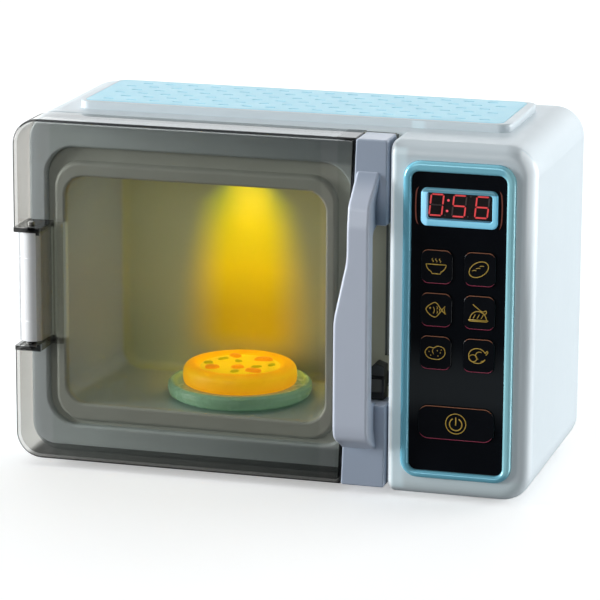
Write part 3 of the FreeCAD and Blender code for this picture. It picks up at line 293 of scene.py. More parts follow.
def lilac_material():
    """Satin lilac of the handle: the raised grip is paler, while the recessed end blocks beside it carry painted shade,
    darker on faces that look forward or to the right, with a darker painted shadow of the grip on the lower part of the
    upper block.
    """
    k = Mat("lilac_satin")
    p = k.principled()
    x, y, z = k.axes()
    nx, ny, nz = k.axes("Normal")
    big = k.noise(26.0, 4.0, 0.6, 0.4)
    pale = k.ramp(big.outputs["Fac"], [(0.30, (0.645, 0.700, 0.815)), (0.70, (0.660, 0.715, 0.830))])
    painted_shade = k.ramp(big.outputs["Fac"], [(0.30, (0.415, 0.485, 0.600)), (0.70, (0.425, 0.495, 0.612))])
    # painted shade: forward- and right-facing faces at the depth of the end blocks take the darker lilac
    back = k.math("MULTIPLY", k.step(y, -0.0725, -0.0645), k.math("MAXIMUM", k.step(ny, -0.55, -0.90), k.step(nx, 0.25, 0.70)))
    # painted shadow of the grip on the lower part of the upper block
    painted_shade = k.blend(k.math("MULTIPLY", k.step(z, 0.1720, 0.1530), k.step(z, 0.1450, 0.1470)), painted_shade, (0.215, 0.295, 0.395))
    k.link(k.blend(back, pale, painted_shade), p.inputs["Base Color"])
    mid = k.noise(140.0, 3.0, 0.6)
    k.link(k.span(mid.outputs["Fac"], 0.30, 0.36), p.inputs["Roughness"])
    fine = k.noise(2400.0, 2.0, 0.5)
    k.link(k.bump(fine.outputs["Fac"], 0.10, 0.000003), p.inputs["Normal"])
    return k.m


def casing_material():
    """White casing plastic with painted light on the control block: a painted highlight along its rounded left edge and
    along the upper part of its front's rounded right edge, and fainter painted light on the front strip left of the
    panel and low along the front's bottom.
    """
    k = Mat("white_abs_casing")
    p = k.principled()
    x, y, z = k.axes()
    nx, ny, nz = k.axes("Normal")
    big = k.noise(18.0, 4.0, 0.6, 0.4)
    k.link(k.ramp(big.outputs["Fac"], [(0.30, shade((0.735, 0.815, 0.855), 0.988)), (0.70, shade((0.735, 0.815, 0.855), 1.012))]), p.inputs["Base Color"])
    # painted highlight on the rounded left front edge of the control block
    edge = k.math("MULTIPLY", k.step(x, 0.0745, 0.0722), k.step(nx, -0.12, -0.55))
    edge = k.math("MULTIPLY", edge, k.math("MULTIPLY", k.step(y, -0.0575, -0.0605), k.step(x, 0.0675, 0.0684)))
    face = k.step(ny, -0.75, -0.95)
    # painted light on the front strip between the handle and the panel
    left = k.math("MULTIPLY", k.math("MULTIPLY", face, k.step(x, 0.0700, 0.0720)), k.step(x, 0.0800, 0.0765))
    # faint painted light low on the front, standing in for light from the floor
    low = k.math("MULTIPLY", k.math("MULTIPLY", face, k.step(x, 0.0700, 0.0720)), k.step(z, 0.0120, 0.0098))
    glow = k.blend(low, (0.0, 0.0, 0.0), (0.0, 0.012, 0.008))
    # painted highlight on the upper part of the front's rounded right edge
    right = k.math("MULTIPLY", k.math("MULTIPLY", k.step(nx, 0.15, 0.45), k.step(ny, -0.10, -0.45)), k.math("MULTIPLY", k.step(z, 0.090, 0.170), k.step(x, 0.1380, 0.1420)))
    glow = k.blend(right, glow, (0.23, 0.24, 0.245))
    glow = k.blend(left, glow, (0.064, 0.105, 0.115))
    k.link(k.blend(edge, glow, (0.316, 0.333, 0.34)), p.inputs["Emission Color"])
    p.inputs["Emission Strength"].default_value = 1.0
    mid = k.noise(140.0, 3.0, 0.6)
    k.link(k.span(mid.outputs["Fac"], 0.30, 0.40), p.inputs["Roughness"])
    fine = k.noise(2200.0, 2.0, 0.5)
    k.link(k.bump(fine.outputs["Fac"], 0.22, 0.00001), p.inputs["Normal"])
    return k.m


def liner_material():
    """Grey moulded liner with a neutral front collar. Its walls carry painted light: the lamp's yellow column on the
    back wall, painted into both the base colour and the emission, a weak painted wash beside it, painted light on the
    side walls and on the collar's left part level with the hinge, and painted shade on the lower right of the back
    wall.
    """
    k = Mat("liner_abs")
    p = k.principled()
    x, y, z = k.axes()
    nx, ny, nz = k.axes("Normal")
    big = k.noise(22.0, 4.0, 0.6, 0.4)
    base = k.ramp(big.outputs["Fac"], [(0.30, (0.515, 0.585, 0.61)), (0.70, (0.54, 0.61, 0.635))])
    collar = k.step(y, -0.0310, -0.0325)
    base = k.blend(collar, base, (0.585, 0.605, 0.565))
    wall = k.step(y, 0.0440, 0.0525)
    base = k.blend(wall, base, (0.66, 0.70, 0.455))
    # painted shade: the lower right of the back wall is darker
    base = k.blend(k.math("MULTIPLY", k.math("MULTIPLY", wall, k.step(z, 0.062, 0.030)), k.step(x, -0.060, -0.005)), base, (0.38, 0.41, 0.36))
    fall = k.math("DIVIDE", k.math("SUBTRACT", 0.1490, z), 0.040)
    half = k.math("MULTIPLY", k.math("SUBTRACT", 1.0, k.math("EXPONENT", k.math("MULTIPLY", fall, -1.0))), 0.0145)
    cap = k.math("POWER", k.math("MAXIMUM", k.math("DIVIDE", k.math("SUBTRACT", 0.1535, z), 0.022), 0.01), 0.5)
    half = k.math("MULTIPLY", k.math("ADD", half, 0.0175), k.math("MINIMUM", cap, 1.0))
    off = k.math("DIVIDE", k.math("ABSOLUTE", k.math("ADD", x, 0.0473)), half)
    cone = k.step(off, 0.40, 1.50, 1.0, 0.0)
    cone = k.math("MULTIPLY", cone, k.step(z, 0.0280, 0.0560))
    cone = k.math("MULTIPLY", cone, k.step(z, 0.1520, 0.1420))
    cone = k.math("MULTIPLY", cone, wall)
    # the lamp's light column is painted into the base colour too
    k.link(k.blend(cone, base, (0.58, 0.46, 0.0)), p.inputs["Base Color"])
    glow = k.ramp(k.step(z, 0.030, 0.1475), [(0.0, (0.38, 0.20, 0.0)), (0.22, (0.46, 0.25, 0.0)), (0.55, (0.81, 0.52, 0.0)), (0.85, (0.69, 0.59, 0.010)), (1.0, (0.44, 0.56, 0.05))])
    # painted light on the side walls
    side = k.math("MULTIPLY", k.step(k.math("ABSOLUTE", nx), 0.60, 0.85), k.math("SUBTRACT", 1.0, collar))
    # painted wash of warm lamp light on the back wall, fading out towards its bottom
    wash = k.ramp(k.span(x, 0.0, 1.0, -0.125, 0.020), [(0.0, (0.046, 0.036, 0.014)), (1.0, (0.070, 0.045, 0.010))])
    lit = k.blend(side, (0.0, 0.0, 0.0), (0.037, 0.041, 0.054))
    wash = k.blend(k.step(z, 0.028, 0.090), (0.0, 0.0, 0.0), wash)
    lit = k.blend(wall, lit, wash)
    # painted light on the collar's left part, level with the hinge
    ledge = k.math("MULTIPLY", k.math("MULTIPLY", collar, k.step(x, -0.1225, -0.1250)), k.math("MULTIPLY", k.step(z, 0.0650, 0.0670), k.step(z, 0.1350, 0.1330)))
    lit = k.blend(ledge, lit, (0.128, 0.142, 0.125))
    k.link(k.blend(cone, lit, glow), p.inputs["Emission Color"])
    p.inputs["Emission Strength"].default_value = 1.0
    mid = k.noise(140.0, 3.0, 0.6)
    k.link(k.span(mid.outputs["Fac"], 0.34, 0.44), p.inputs["Roughness"])
    fine = k.noise(1800.0, 2.0, 0.5)
    k.link(k.bump(fine.outputs["Fac"], 0.3, 0.000014), p.inputs["Normal"])
    return k.m


def knuckle_material():
    """Polished white hinge bracket with painted shading: the round knuckle is painted brightest a little in from its
    outer side and painted darker towards the inner side and towards the back, and its front carries a faint painted
    glow.
    """
    k = Mat("knuckle_abs")
    p = k.principled()
    x, y, z = k.axes()
    # painted shading across the round knuckle, from its outer side to its inner side
    tone = k.ramp(k.span(x, 0.0, 1.0, -0.150, -0.1365), [(0.0, (0.80, 0.82, 0.83)), (0.25, (0.95, 0.96, 0.97)), (0.45, (0.95, 0.96, 0.97)), (0.68, (0.60, 0.61, 0.62)), (1.0, (0.36, 0.37, 0.37))])
    n = k.noise(40.0, 4.0, 0.6, 0.4)
    tone = k.blend(1.0, tone, k.ramp(n.outputs["Fac"], [(0.3, (0.98, 0.98, 0.98)), (0.7, (1.0, 1.0, 1.0))]), "MULTIPLY")
    # painted shade towards the back
    painted_shade = k.step(y, -0.0500, -0.0370)
    k.link(k.blend(k.math("MULTIPLY", painted_shade, 0.55), tone, (0.28, 0.285, 0.29)), p.inputs["Base Color"])
    # faint painted glow on the front, fading out towards the back
    k.link(k.blend(painted_shade, tone, (0.0, 0.0, 0.0)), p.inputs["Emission Color"])
    p.inputs["Emission Strength"].default_value = 0.17
    k.link(k.span(n.outputs["Fac"], 0.16, 0.24), p.inputs["Roughness"])
    p.inputs["Coat Weight"].default_value = 0.3
    p.inputs["Coat Roughness"].default_value = 0.10
    fine = k.noise(2200.0, 2.0, 0.5)
    k.link(k.bump(fine.outputs["Fac"], 0.12, 0.000006), p.inputs["Normal"])
    return k.m


def rim_material():
    """Glossy cyan of the panel's rim, with painted shade along its left and lower bars and a painted highlight along
    the right one.
    """
    k = Mat("cyan_gloss")
    p = k.principled()
    x, y, z = k.axes()
    n = k.noise(40.0, 4.0, 0.6, 0.4)
    base = k.ramp(n.outputs["Fac"], [(0.30, (0.291, 0.718, 0.873)), (0.70, (0.309, 0.762, 0.927))])
    # painted highlight on the right bar
    base = k.blend(k.step(x, 0.1320, 0.1350), base, (0.44, 0.90, 1.0))
    # painted shade on the left bar
    base = k.blend(k.step(x, 0.0830, 0.0800), base, (0.23, 0.65, 0.84))
    # painted shade on the lower bar
    base = k.blend(k.step(z, 0.0170, 0.0130), base, (0.21, 0.58, 0.74))
    k.link(base, p.inputs["Base Color"])
    mid = k.noise(140.0, 3.0, 0.6)
    k.link(k.span(mid.outputs["Fac"], 0.16, 0.24), p.inputs["Roughness"])
    p.inputs["Metallic"].default_value = 0.1
    fine = k.noise(1500.0, 2.0, 0.5)
    k.link(k.bump(fine.outputs["Fac"], 0.15, 0.000006), p.inputs["Normal"])
    return k.m


def bezel_material():
    """Glossy pale blue frame of the display, darker along its top bar, with a faint painted glow all over and a
    brighter painted highlight along its left bar.
    """
    k = Mat("bezel_gloss")
    p = k.principled()
    x, y, z = k.axes()
    n = k.noise(60.0, 4.0, 0.6, 0.4)
    base = k.ramp(n.outputs["Fac"], [(0.30, (0.33, 0.757, 0.92)), (0.70, (0.35, 0.80, 0.98))])
    top = k.step(z, 0.1708, 0.1718)
    k.link(k.blend(top, base, (0.17, 0.40, 0.50)), p.inputs["Base Color"])
    # painted highlight on the left bar; the rest of the frame carries a fainter painted glow
    left = k.step(x, 0.0905, 0.0895)
    lit = k.blend(left, (0.048, 0.168, 0.258), (0.20, 0.44, 0.63))
    k.link(k.blend(top, lit, (0.0, 0.02, 0.03)), p.inputs["Emission Color"])
    p.inputs["Emission Strength"].default_value = 1.0
    mid = k.noise(140.0, 3.0, 0.6)
    k.link(k.span(mid.outputs["Fac"], 0.18, 0.26), p.inputs["Roughness"])
    fine = k.noise(1500.0, 2.0, 0.5)
    k.link(k.bump(fine.outputs["Fac"], 0.15, 0.000006), p.inputs["Normal"])
    return k.m


def fascia_material():
    """Black gloss behind the keys, with a band of painted light a shade lighter between the keys and the wide key."""
    k = Mat("black_gloss")
    p = k.principled()
    x, y, z = k.axes()
    n = k.noise(30.0, 4.0, 0.6, 0.4)
    base = k.ramp(n.outputs["Fac"], [(0.30, (0.0034, 0.0043, 0.0064)), (0.70, (0.0046, 0.0058, 0.0086))])
    # painted light: a faint glowing band between the lower keys and the wide key
    soft = k.math("MULTIPLY", k.step(z, 0.0380, 0.0580), k.step(z, 0.0900, 0.0660))
    k.link(base, p.inputs["Base Color"])
    k.link(k.blend(soft, (0.0, 0.0, 0.0), (0.0085, 0.0100, 0.0105)), p.inputs["Emission Color"])
    p.inputs["Emission Strength"].default_value = 1.0
    mid = k.noise(140.0, 3.0, 0.6)
    k.link(k.span(mid.outputs["Fac"], 0.10, 0.17), p.inputs["Roughness"])
    p.inputs["Specular IOR Level"].default_value = 0.28
    fine = k.noise(1200.0, 2.0, 0.5)
    k.link(k.bump(fine.outputs["Fac"], 0.12, 0.000005), p.inputs["Normal"])
    return k.m


def latch_material():
    """Black plastic, greyer on its upper part, with a grey pocket in its lower face."""
    k = Mat("latch_black")
    p = k.principled()
    x, y, z = k.axes()
    n = k.noise(220.0, 3.0, 0.6)
    base = k.ramp(n.outputs["Fac"], [(0.3, (0.006, 0.006, 0.006)), (0.7, (0.010, 0.010, 0.010))])
    base = k.blend(k.step(z, 0.0626, 0.0630), base, (0.060, 0.062, 0.058))
    inside = k.math("MULTIPLY", k.step(z, 0.0530, 0.0534), k.step(z, 0.0608, 0.0604))
    inside = k.math("MULTIPLY", inside, k.step(y, -0.0527, -0.0524))
    inside = k.math("MULTIPLY", inside, k.step(y, -0.0505, -0.0510))
    base = k.blend(inside, base, (0.135, 0.132, 0.115))
    k.link(base, p.inputs["Base Color"])
    k.link(k.span(n.outputs["Fac"], 0.36, 0.50), p.inputs["Roughness"])
    fine = k.noise(1800.0, 2.0, 0.5)
    k.link(k.bump(fine.outputs["Fac"], 0.3, 0.00002), p.inputs["Normal"])
    return k.m


def smoked_door():
    """Smoked clear plastic: the flat walls pass most of the light, while rounded edges, the lock wall and the hinge
    ledges look dark. Painted shade darkens the floor wall, the rear of the top wall and bands along the top and bottom
    of the front, more towards the right; the flange behind the finger gap carries painted light.
    """
    k = Mat("smoked_clear")
    clear = k.n("ShaderNodeBsdfTransparent")
    skin = k.n("ShaderNodeBsdfPrincipled")
    mix = k.n("ShaderNodeMixShader")
    k.link(mix.outputs[0], k.out.inputs["Surface"])
    nx, ny, nz = k.axes("Normal")
    x, y, z = k.axes()
    ab = k.math("ABSOLUTE", ny)
    up = k.math("ABSOLUTE", nz)
    tint = k.ramp(ab, [(0.0, (0.86, 0.86, 0.85)), (0.08, (0.82, 0.82, 0.80)), (0.16, (0.13, 0.13, 0.13)), (0.86, (0.13, 0.13, 0.13)),
                       (0.955, (0.79, 0.79, 0.765)), (1.0, (0.832, 0.832, 0.808))])
    ends = k.math("MULTIPLY", k.math("MAXIMUM", k.step(x, -0.1265, -0.1290), k.math("MULTIPLY", k.step(x, 0.0280, 0.0310), k.step(x, 0.0392, 0.0386))), k.step(ab, 0.93, 0.97))
    tint = k.blend(ends, tint, (0.880, 0.868, 0.850))
    across = k.span(x, 0.0, 1.0, -0.105, 0.045)
    front = k.step(ab, 0.93, 0.97)
    # painted shade: bands along the top and bottom of the front, darker towards the right
    head = k.math("MULTIPLY", k.math("MULTIPLY", across, front), k.step(z, 0.1815, 0.1850))
    foot = k.math("MULTIPLY", k.math("MULTIPLY", across, front), k.step(z, 0.0235, 0.0200))
    tint = k.blend(1.0, tint, k.blend(head, (1.0, 1.0, 1.0), (0.80, 0.805, 0.815)), "MULTIPLY")
    tint = k.blend(1.0, tint, k.blend(foot, (1.0, 1.0, 1.0), (0.73, 0.735, 0.74)), "MULTIPLY")
    flat = k.step(up, 0.75, 0.95)
    # painted shade on the floor wall
    low = k.math("MULTIPLY", flat, k.step(z, 0.0075, 0.0060))
    tint = k.blend(low, tint, (0.31, 0.31, 0.305))
    # painted shade on the rear of the top wall
    high = k.math("MULTIPLY", k.math("MULTIPLY", flat, k.step(z, 0.1940, 0.1950)), k.step(y, -0.0545, -0.0510))
    tint = k.blend(high, tint, (0.70, 0.71, 0.72))
    lock = k.math("MULTIPLY", k.step(x, 0.0375, 0.0395), k.step(ab, 0.75, 0.55))
    tint = k.blend(lock, tint, (0.10, 0.10, 0.10))
    band = k.math("ADD", k.math("MULTIPLY", k.step(z, 0.0642, 0.0646), k.step(z, 0.0684, 0.0680)),
                  k.math("MULTIPLY", k.step(z, 0.1316, 0.1320), k.step(z, 0.1358, 0.1354)))
    band = k.math("MULTIPLY", band, k.step(x, -0.1340, -0.1346))
    tint = k.blend(band, tint, k.ramp(ab, [(0.5, (0.40, 0.40, 0.39)), (0.8, (0.14, 0.14, 0.14))]))
    cloud = k.noise(16.0, 3.0, 0.5, 0.3)
    shift = k.ramp(cloud.outputs["Fac"], [(0.3, (0.975, 0.975, 0.97)), (0.7, (1.0, 1.0, 1.0))])
    k.link(k.blend(1.0, tint, shift, "MULTIPLY"), clear.inputs["Color"])
    # painted light: the flange behind the finger gap gets an opaque pale olive skin and a faint glow
    flange = k.math("MULTIPLY", k.math("MULTIPLY", k.step(x, 0.0393, 0.0397), k.step(y, -0.0468, -0.0460)), k.step(ab, 0.80, 0.95))
    k.link(k.blend(flange, (0.92, 0.92, 0.92), (0.58, 0.585, 0.44)), skin.inputs["Base Color"])
    k.link(k.math("SUBTRACT", 1.0, flange), skin.inputs["Metallic"])
    skin.inputs["Emission Color"].default_value = (1.0, 1.0, 0.80, 1.0)
    k.link(k.math("MULTIPLY", flange, 0.040), skin.inputs["Emission Strength"])
    wave = k.noise(60.0, 2.0, 0.5)
    k.link(k.span(wave.outputs["Fac"], 0.03, 0.07), skin.inputs["Roughness"])
    fine = k.noise(35.0, 2.0, 0.5)
    k.link(k.bump(fine.outputs["Fac"], 0.05, 0.0003), skin.inputs["Normal"])
    face = k.n("ShaderNodeLayerWeight")
    face.inputs["Blend"].default_value = 0.5
    gloss = k.span(k.math("POWER", face.outputs["Facing"], 5.0), 0.035, 0.80, 0.0, 1.0)
    k.link(k.math("MAXIMUM", gloss, k.math("MULTIPLY", flange, 0.85)), mix.inputs[0])
    k.link(clear.outputs[0], mix.inputs[1])
    k.link(skin.outputs[0], mix.inputs[2])
    return k.m


def display_acrylic():
    """Clear acrylic over the digits, faintly red, polished."""
    k = Mat("display_clear")
    clear = k.n("ShaderNodeBsdfTransparent")
    skin = k.n("ShaderNodeBsdfPrincipled")
    mix = k.n("ShaderNodeMixShader")
    cloud = k.noise(80.0, 3.0, 0.5)
    k.link(k.ramp(cloud.outputs["Fac"], [(0.3, (0.93, 0.88, 0.88)), (0.7, (0.97, 0.93, 0.93))]), clear.inputs["Color"])
    skin.inputs["Base Color"].default_value = (0.01, 0.006, 0.006, 1)
    wave = k.noise(200.0, 2.0, 0.5)
    k.link(k.span(wave.outputs["Fac"], 0.03, 0.08), skin.inputs["Roughness"])
    face = k.n("ShaderNodeLayerWeight")
    face.inputs["Blend"].default_value = 0.35
    k.link(k.span(face.outputs["Facing"], 0.05, 0.6, 0.0, 1.0), mix.inputs[0])
    k.link(clear.outputs[0], mix.inputs[1])
    k.link(skin.outputs[0], mix.inputs[2])
    k.link(mix.outputs[0], k.out.inputs["Surface"])
    return k.m


def lamp_material():
    """Translucent yellow lens, lit from behind, brighter towards its middle."""
    k = Mat("lamp_lens_lit")
    p = k.principled()
    n = k.noise(300.0, 2.0, 0.5)
    k.link(k.ramp(n.outputs["Fac"], [(0.3, (0.95, 0.66, 0.06)), (0.7, (1.0, 0.78, 0.14))]), p.inputs["Base Color"])
    k.link(k.span(n.outputs["Fac"], 0.15, 0.30), p.inputs["Roughness"])
    p.inputs["Emission Color"].default_value = (1.0, 0.72, 0.05, 1)
    p.inputs["Emission Strength"].default_value = 2.0
    return k.m


def circuit_board():
    """Green solder mask with the faint relief of copper tracks under it."""
    k = Mat("solder_mask")
    p = k.principled()
    br = k.n("ShaderNodeTexBrick")
    br.offset = 0.5
    br.inputs["Scale"].default_value = 260.0
    br.inputs["Mortar Size"].default_value = 0.012
    br.inputs["Color1"].default_value = (0.015, 0.13, 0.045, 1)
    br.inputs["Color2"].default_value = (0.020, 0.16, 0.055, 1)
    br.inputs["Mortar"].default_value = (0.06, 0.30, 0.10, 1)
    mp = k.n("ShaderNodeMapping")
    mp.inputs["Rotation"].default_value = (math.radians(90), 0, 0)
    k.link(k.co.outputs["Object"], mp.inputs["Vector"])
    k.link(mp.outputs["Vector"], br.inputs["Vector"])
    k.link(br.outputs["Color"], p.inputs["Base Color"])
    n = k.noise(500.0, 2.0, 0.5)
    k.link(k.span(n.outputs["Fac"], 0.25, 0.38), p.inputs["Roughness"])
    k.link(k.bump(br.outputs["Fac"], 0.3, 0.00004), p.inputs["Normal"])
    return k.m


def cell_jacket():
    """Plain cell: dark jacket with a copper band at one end and bright caps."""
    k = Mat("cell_jacket")
    p = k.principled()
    sep = k.n("ShaderNodeSeparateXYZ")
    k.link(k.co.outputs["Object"], sep.inputs[0])
    band = k.ramp(k.span(sep.outputs["X"], 0.0, 1.0, 0.0775, 0.127),
                  [(0.0, (0.55, 0.55, 0.56)), (0.02, (0.02, 0.02, 0.024)), (0.70, (0.025, 0.025, 0.03)), (0.72, (0.55, 0.25, 0.09)), (0.98, (0.60, 0.28, 0.10)), (1.0, (0.6, 0.6, 0.6))])
    k.link(band, p.inputs["Base Color"])
    n = k.noise(400.0, 2.0, 0.5)
    k.link(k.span(n.outputs["Fac"], 0.22, 0.34), p.inputs["Roughness"])
    p.inputs["Metallic"].default_value = 0.6
    return k.m


def speaker_paper():
    """Pressed paper pulp: fibrous and matt."""
    k = Mat("speaker_paper")
    p = k.principled()
    n = k.noise(700.0, 5.0, 0.7, 0.6)
    k.link(k.ramp(n.outputs["Fac"], [(0.3, (0.015, 0.015, 0.016)), (0.7, (0.045, 0.043, 0.04))]), p.inputs["Base Color"])
    k.link(k.span(n.outputs["Fac"], 0.75, 0.92), p.inputs["Roughness"])
    k.link(k.bump(n.outputs["Fac"], 0.6, 0.00006), p.inputs["Normal"])
    return k.m


def printed(name, color, rough=0.4, metallic=0.0, emission=0.0):
    """Screen printed ink: slightly broken edge density and a dry sheen. The brown and red key-edge lines use it for
    painted reflections.
    """
    k = Mat(name)
    p = k.principled()
    n = k.noise(900.0, 3.0, 0.6)
    k.link(k.ramp(n.outputs["Fac"], [(0.25, shade(color, 0.80)), (0.6, color), (0.8, shade(color, 1.10))]), p.inputs["Base Color"])
    k.link(k.span(n.outputs["Fac"], rough - 0.08, rough + 0.08), p.inputs["Roughness"])
    p.inputs["Metallic"].default_value = metallic
    if emission:
        p.inputs["Emission Color"].default_value = (*color, 1.0)
        p.inputs["Emission Strength"].default_value = emission
    return k.m


def lit_segment(name, color, strength):
    """Lit digit segment: glows a little unevenly, as one die behind a diffuser does."""
    k = Mat(name)
    p = k.principled()
    n = k.noise(260.0, 2.0, 0.5)
    col = k.ramp(n.outputs["Fac"], [(0.3, shade(color, 0.85)), (0.7, color)])
    k.link(col, p.inputs["Emission Color"])
    k.link(col, p.inputs["Base Color"])
    p.inputs["Emission Strength"].default_value = strength
    p.inputs["Roughness"].default_value = 0.4
    return k.m


smoked = smoked_door()
liner = liner_material()
lilac = lilac_material()
white_casing = casing_material()
latch_mat = latch_material()
knuckle = knuckle_material()
cyan = rim_material()
bezel_blue = bezel_material()
black_gloss = fascia_material()
acrylic = display_acrylic()
lamp_mat = lamp_material()
pcb_mat = circuit_board()
cell_mat = cell_jacket()
paper = speaker_paper()
# the gold icon, key-edge and arc inks carry a faint painted glow
gold = printed("gold_ink", (0.52, 0.34, 0.05), 0.38, 0.0, 0.13)
# painted reflections along the key edges, drawn as raised lines
key_edge_reflection_upper = printed("key_edge_reflection_brown", (0.30, 0.105, 0.045), 0.4, 0.0, 0.12)
key_edge_reflection_lower = printed("key_edge_reflection_red", (0.33, 0.028, 0.075), 0.4, 0.0, 0.12)
arc_ink = printed("arc_ink", (0.20, 0.050, 0.030), 0.4, 0.0, 0.25)
led_red = lit_segment("segment_lit", (0.84, 0.085, 0.09), 0.9)
led_dot = lit_segment("dot_lit", (0.95, 0.12, 0.15), 1.1)
led_off = printed("segment_off", (0.17, 0.15, 0.145), 0.5)

BY_NODE = {
    "main_casing": white_casing, "rear_cover": white, "battery_door": white, "hinge_bracket": knuckle, "latch_catch": white,
    "gearbox_base": white, "gearbox_cover": white, "cavity_liner": liner, "top_plate": blue, "panel_rim": cyan,
    "display_bezel": bezel_blue, "panel_fascia": black_gloss, "display_window": acrylic, "display_module": black,
    "door_shell": smoked, "door_handle": lilac, "latch_hook": latch_mat, "lamp_lens": lamp_mat, "lamp_led": lamp_mat,
    "lamp_board": pcb_mat, "control_board": pcb_mat, "key_switches": black, "board_components": black, "battery_box": black,
    "battery_cells": cell_mat, "battery_contacts": plated, "speaker_basket": plated, "speaker_cone": paper, "turntable_motor": drawn,
    "gear_shafts": drawn, "hinge_pin": drawn, "rubber_feet": rubber, "turntable_plate": green, "turntable_spindle": gear_mat,
    "second_gear": gear_mat, "first_gear": gear_mat, "motor_pinion": gear_mat, "battery_leads": wire_red, "speaker_leads": wire_red,
    "lamp_leads": wire_red, "motor_leads": wire_red,
}
for n_ in NODES:
    mat_ = BY_NODE.get(n_)
    if mat_ is None and n_.endswith("_key"):
        mat_ = key_gloss
    if mat_ is None and "screw" in n_:
        mat_ = plated
    if mat_ is None:
        continue
    o_ = NODES[n_]
    if len(o_.material_slots) == 0:
        o_.data.materials.append(mat_)
    for s_ in o_.material_slots:
        s_.material = mat_


# ------------------------------------------------------------------- meshes
def add_mesh(name, bm, mat, body, smooth=True):
    bmesh.ops.recalc_face_normals(bm, faces=bm.faces[:])
    me = bpy.data.meshes.new(name)
    bm.to_mesh(me)
    bm.free()
    for f in me.polygons:
        f.use_smooth = smooth
    o = bpy.data.objects.new(name, me)
    scene.collection.objects.link(o)
    for mm in (mat if isinstance(mat, (list, tuple)) else [mat]):
        me.materials.append(mm)
    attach(o, body)
    return o


def ribbon(bm, pts, w, y0, h, closed=False, taper=False):
    """Low raised line on a face that looks towards -y. pts are (x, z) in mm, the base lies at y0 and the crown at y0 - h."""
    n = len(pts)
    secs = []
    for i in range(n):
        a = Vector(pts[i - 1] if (closed or i > 0) else pts[i])
        b = Vector(pts[(i + 1) % n] if (closed or i < n - 1) else pts[i])
        t = (b - a).normalized()
        nx, nz = -t.y, t.x
        k = 1.0
        if taper:
            u = i / (n - 1.0)
            k = max(0.15, min(1.0, 4.0 * min(u, 1.0 - u)))
        row = []
        for (o, d) in ((-0.5, 0.0), (-0.38, 0.75), (0.0, 1.0), (0.38, 0.75), (0.5, 0.0)):
            row.append(bm.verts.new(P(pts[i][0] + nx * o * w * k, y0 - d * h, pts[i][1] + nz * o * w * k)))
        secs.append(row)
    last = n if closed else n - 1
    for i in range(last):
        r0, r1 = secs[i], secs[(i + 1) % n]
        for k in range(5):
            bm.faces.new((r0[k], r0[(k + 1) % 5], r1[(k + 1) % 5], r1[k]))
    if not closed:
        bm.faces.new(secs[0])
        bm.faces.new(list(reversed(secs[-1])))


def prism(bm, pts, y0, y1):
    """Flat tablet with outline pts (x, z) between y0 (front) and y1."""
    a = [bm.verts.new(P(x, y0, z)) for (x, z) in pts]
    b = [bm.verts.new(P(x, y1, z)) for (x, z) in pts]
    bm.faces.new(a)
    bm.faces.new(list(reversed(b)))
    n = len(pts)
    for i in range(n):
        bm.faces.new((a[i], b[i], b[(i + 1) % n], a[(i + 1) % n]))


def arc(cx, cz, rx, rz, a0, a1, n=24, tilt=0.0):
    out = []
    ct, st = math.cos(math.radians(tilt)), math.sin(math.radians(tilt))
    for i in range(n + 1):
        a = math.radians(a0 + (a1 - a0) * i / n)
        dx, dz = rx * math.cos(a), rz * math.sin(a)
        out.append((cx + dx * ct - dz * st, cz + dx * st + dz * ct))
    return out


def smooth_line(ctrl, n=10, closed=False):
    """Catmull-Rom line through the control points."""
    m_ = len(ctrl)
    out = []
    rng = range(m_ if closed else m_ - 1)
    for i in rng:
        if closed:
            p0, p1, p2, p3 = (ctrl[(i + k) % m_] for k in (-1, 0, 1, 2))
        else:
            p0, p1, p2, p3 = ctrl[max(0, i - 1)], ctrl[i], ctrl[i + 1], ctrl[min(m_ - 1, i + 2)]
        for s in range(n):
            t = s / n
            out.append(tuple(0.5 * (2 * p1[k] + (p2[k] - p0[k]) * t + (2 * p0[k] - 5 * p1[k] + 4 * p2[k] - p3[k]) * t * t
                                    + (3 * p1[k] - p0[k] - 3 * p2[k] + p3[k]) * t ** 3) for k in (0, 1)))
    if not closed:
        out.append(tuple(ctrl[-1]))
    return out


def dot(bm, x, z, r, y0, h, n=16):
    """Small domed dot."""
    top = bm.verts.new(P(x, y0 - h, z))
    r1, r2 = [], []
    for i in range(n):
        a = 2 * math.pi * i / n
        r1.append(bm.verts.new(P(x + r * 0.7 * math.cos(a), y0 - h * 0.75, z + r * 0.7 * math.sin(a))))
        r2.append(bm.verts.new(P(x + r * math.cos(a), y0, z + r * math.sin(a))))
    for i in range(n):
        j = (i + 1) % n
        bm.faces.new((top, r1[i], r1[j]))
        bm.faces.new((r1[i], r2[i], r2[j], r1[j]))
    bm.faces.new(r2)


# ------------------------------------------------------------ display digits
DIGIT_H, DIGIT_W, SEG_T, SLANT = 12.5, 7.8, 0.84, 0.105
DIGIT_Z = 162.3
Y_SEG = 2.40


def seg_points(which):
    hw, hh, t = DIGIT_W / 2 - SEG_T / 2, DIGIT_H / 2 - SEG_T / 2, SEG_T / 2
    g = 0.28
    horiz = {"a": hh, "g": 0.0, "d": -hh}
    if which in horiz:
        z = horiz[which]
        return [(-hw + g, z), (-hw + g + t, z + t), (hw - g - t, z + t), (hw - g, z), (hw - g - t, z - t), (-hw + g + t, z - t)]
    x = -hw if which in "fe" else hw
    z0, z1 = (0.0 + g, hh - g) if which in "fb" else (-hh + g, 0.0 - g)
    return [(x, z0), (x + t, z0 + t), (x + t, z1 - t), (x, z1), (x - t, z1 - t), (x - t, z0 + t)]


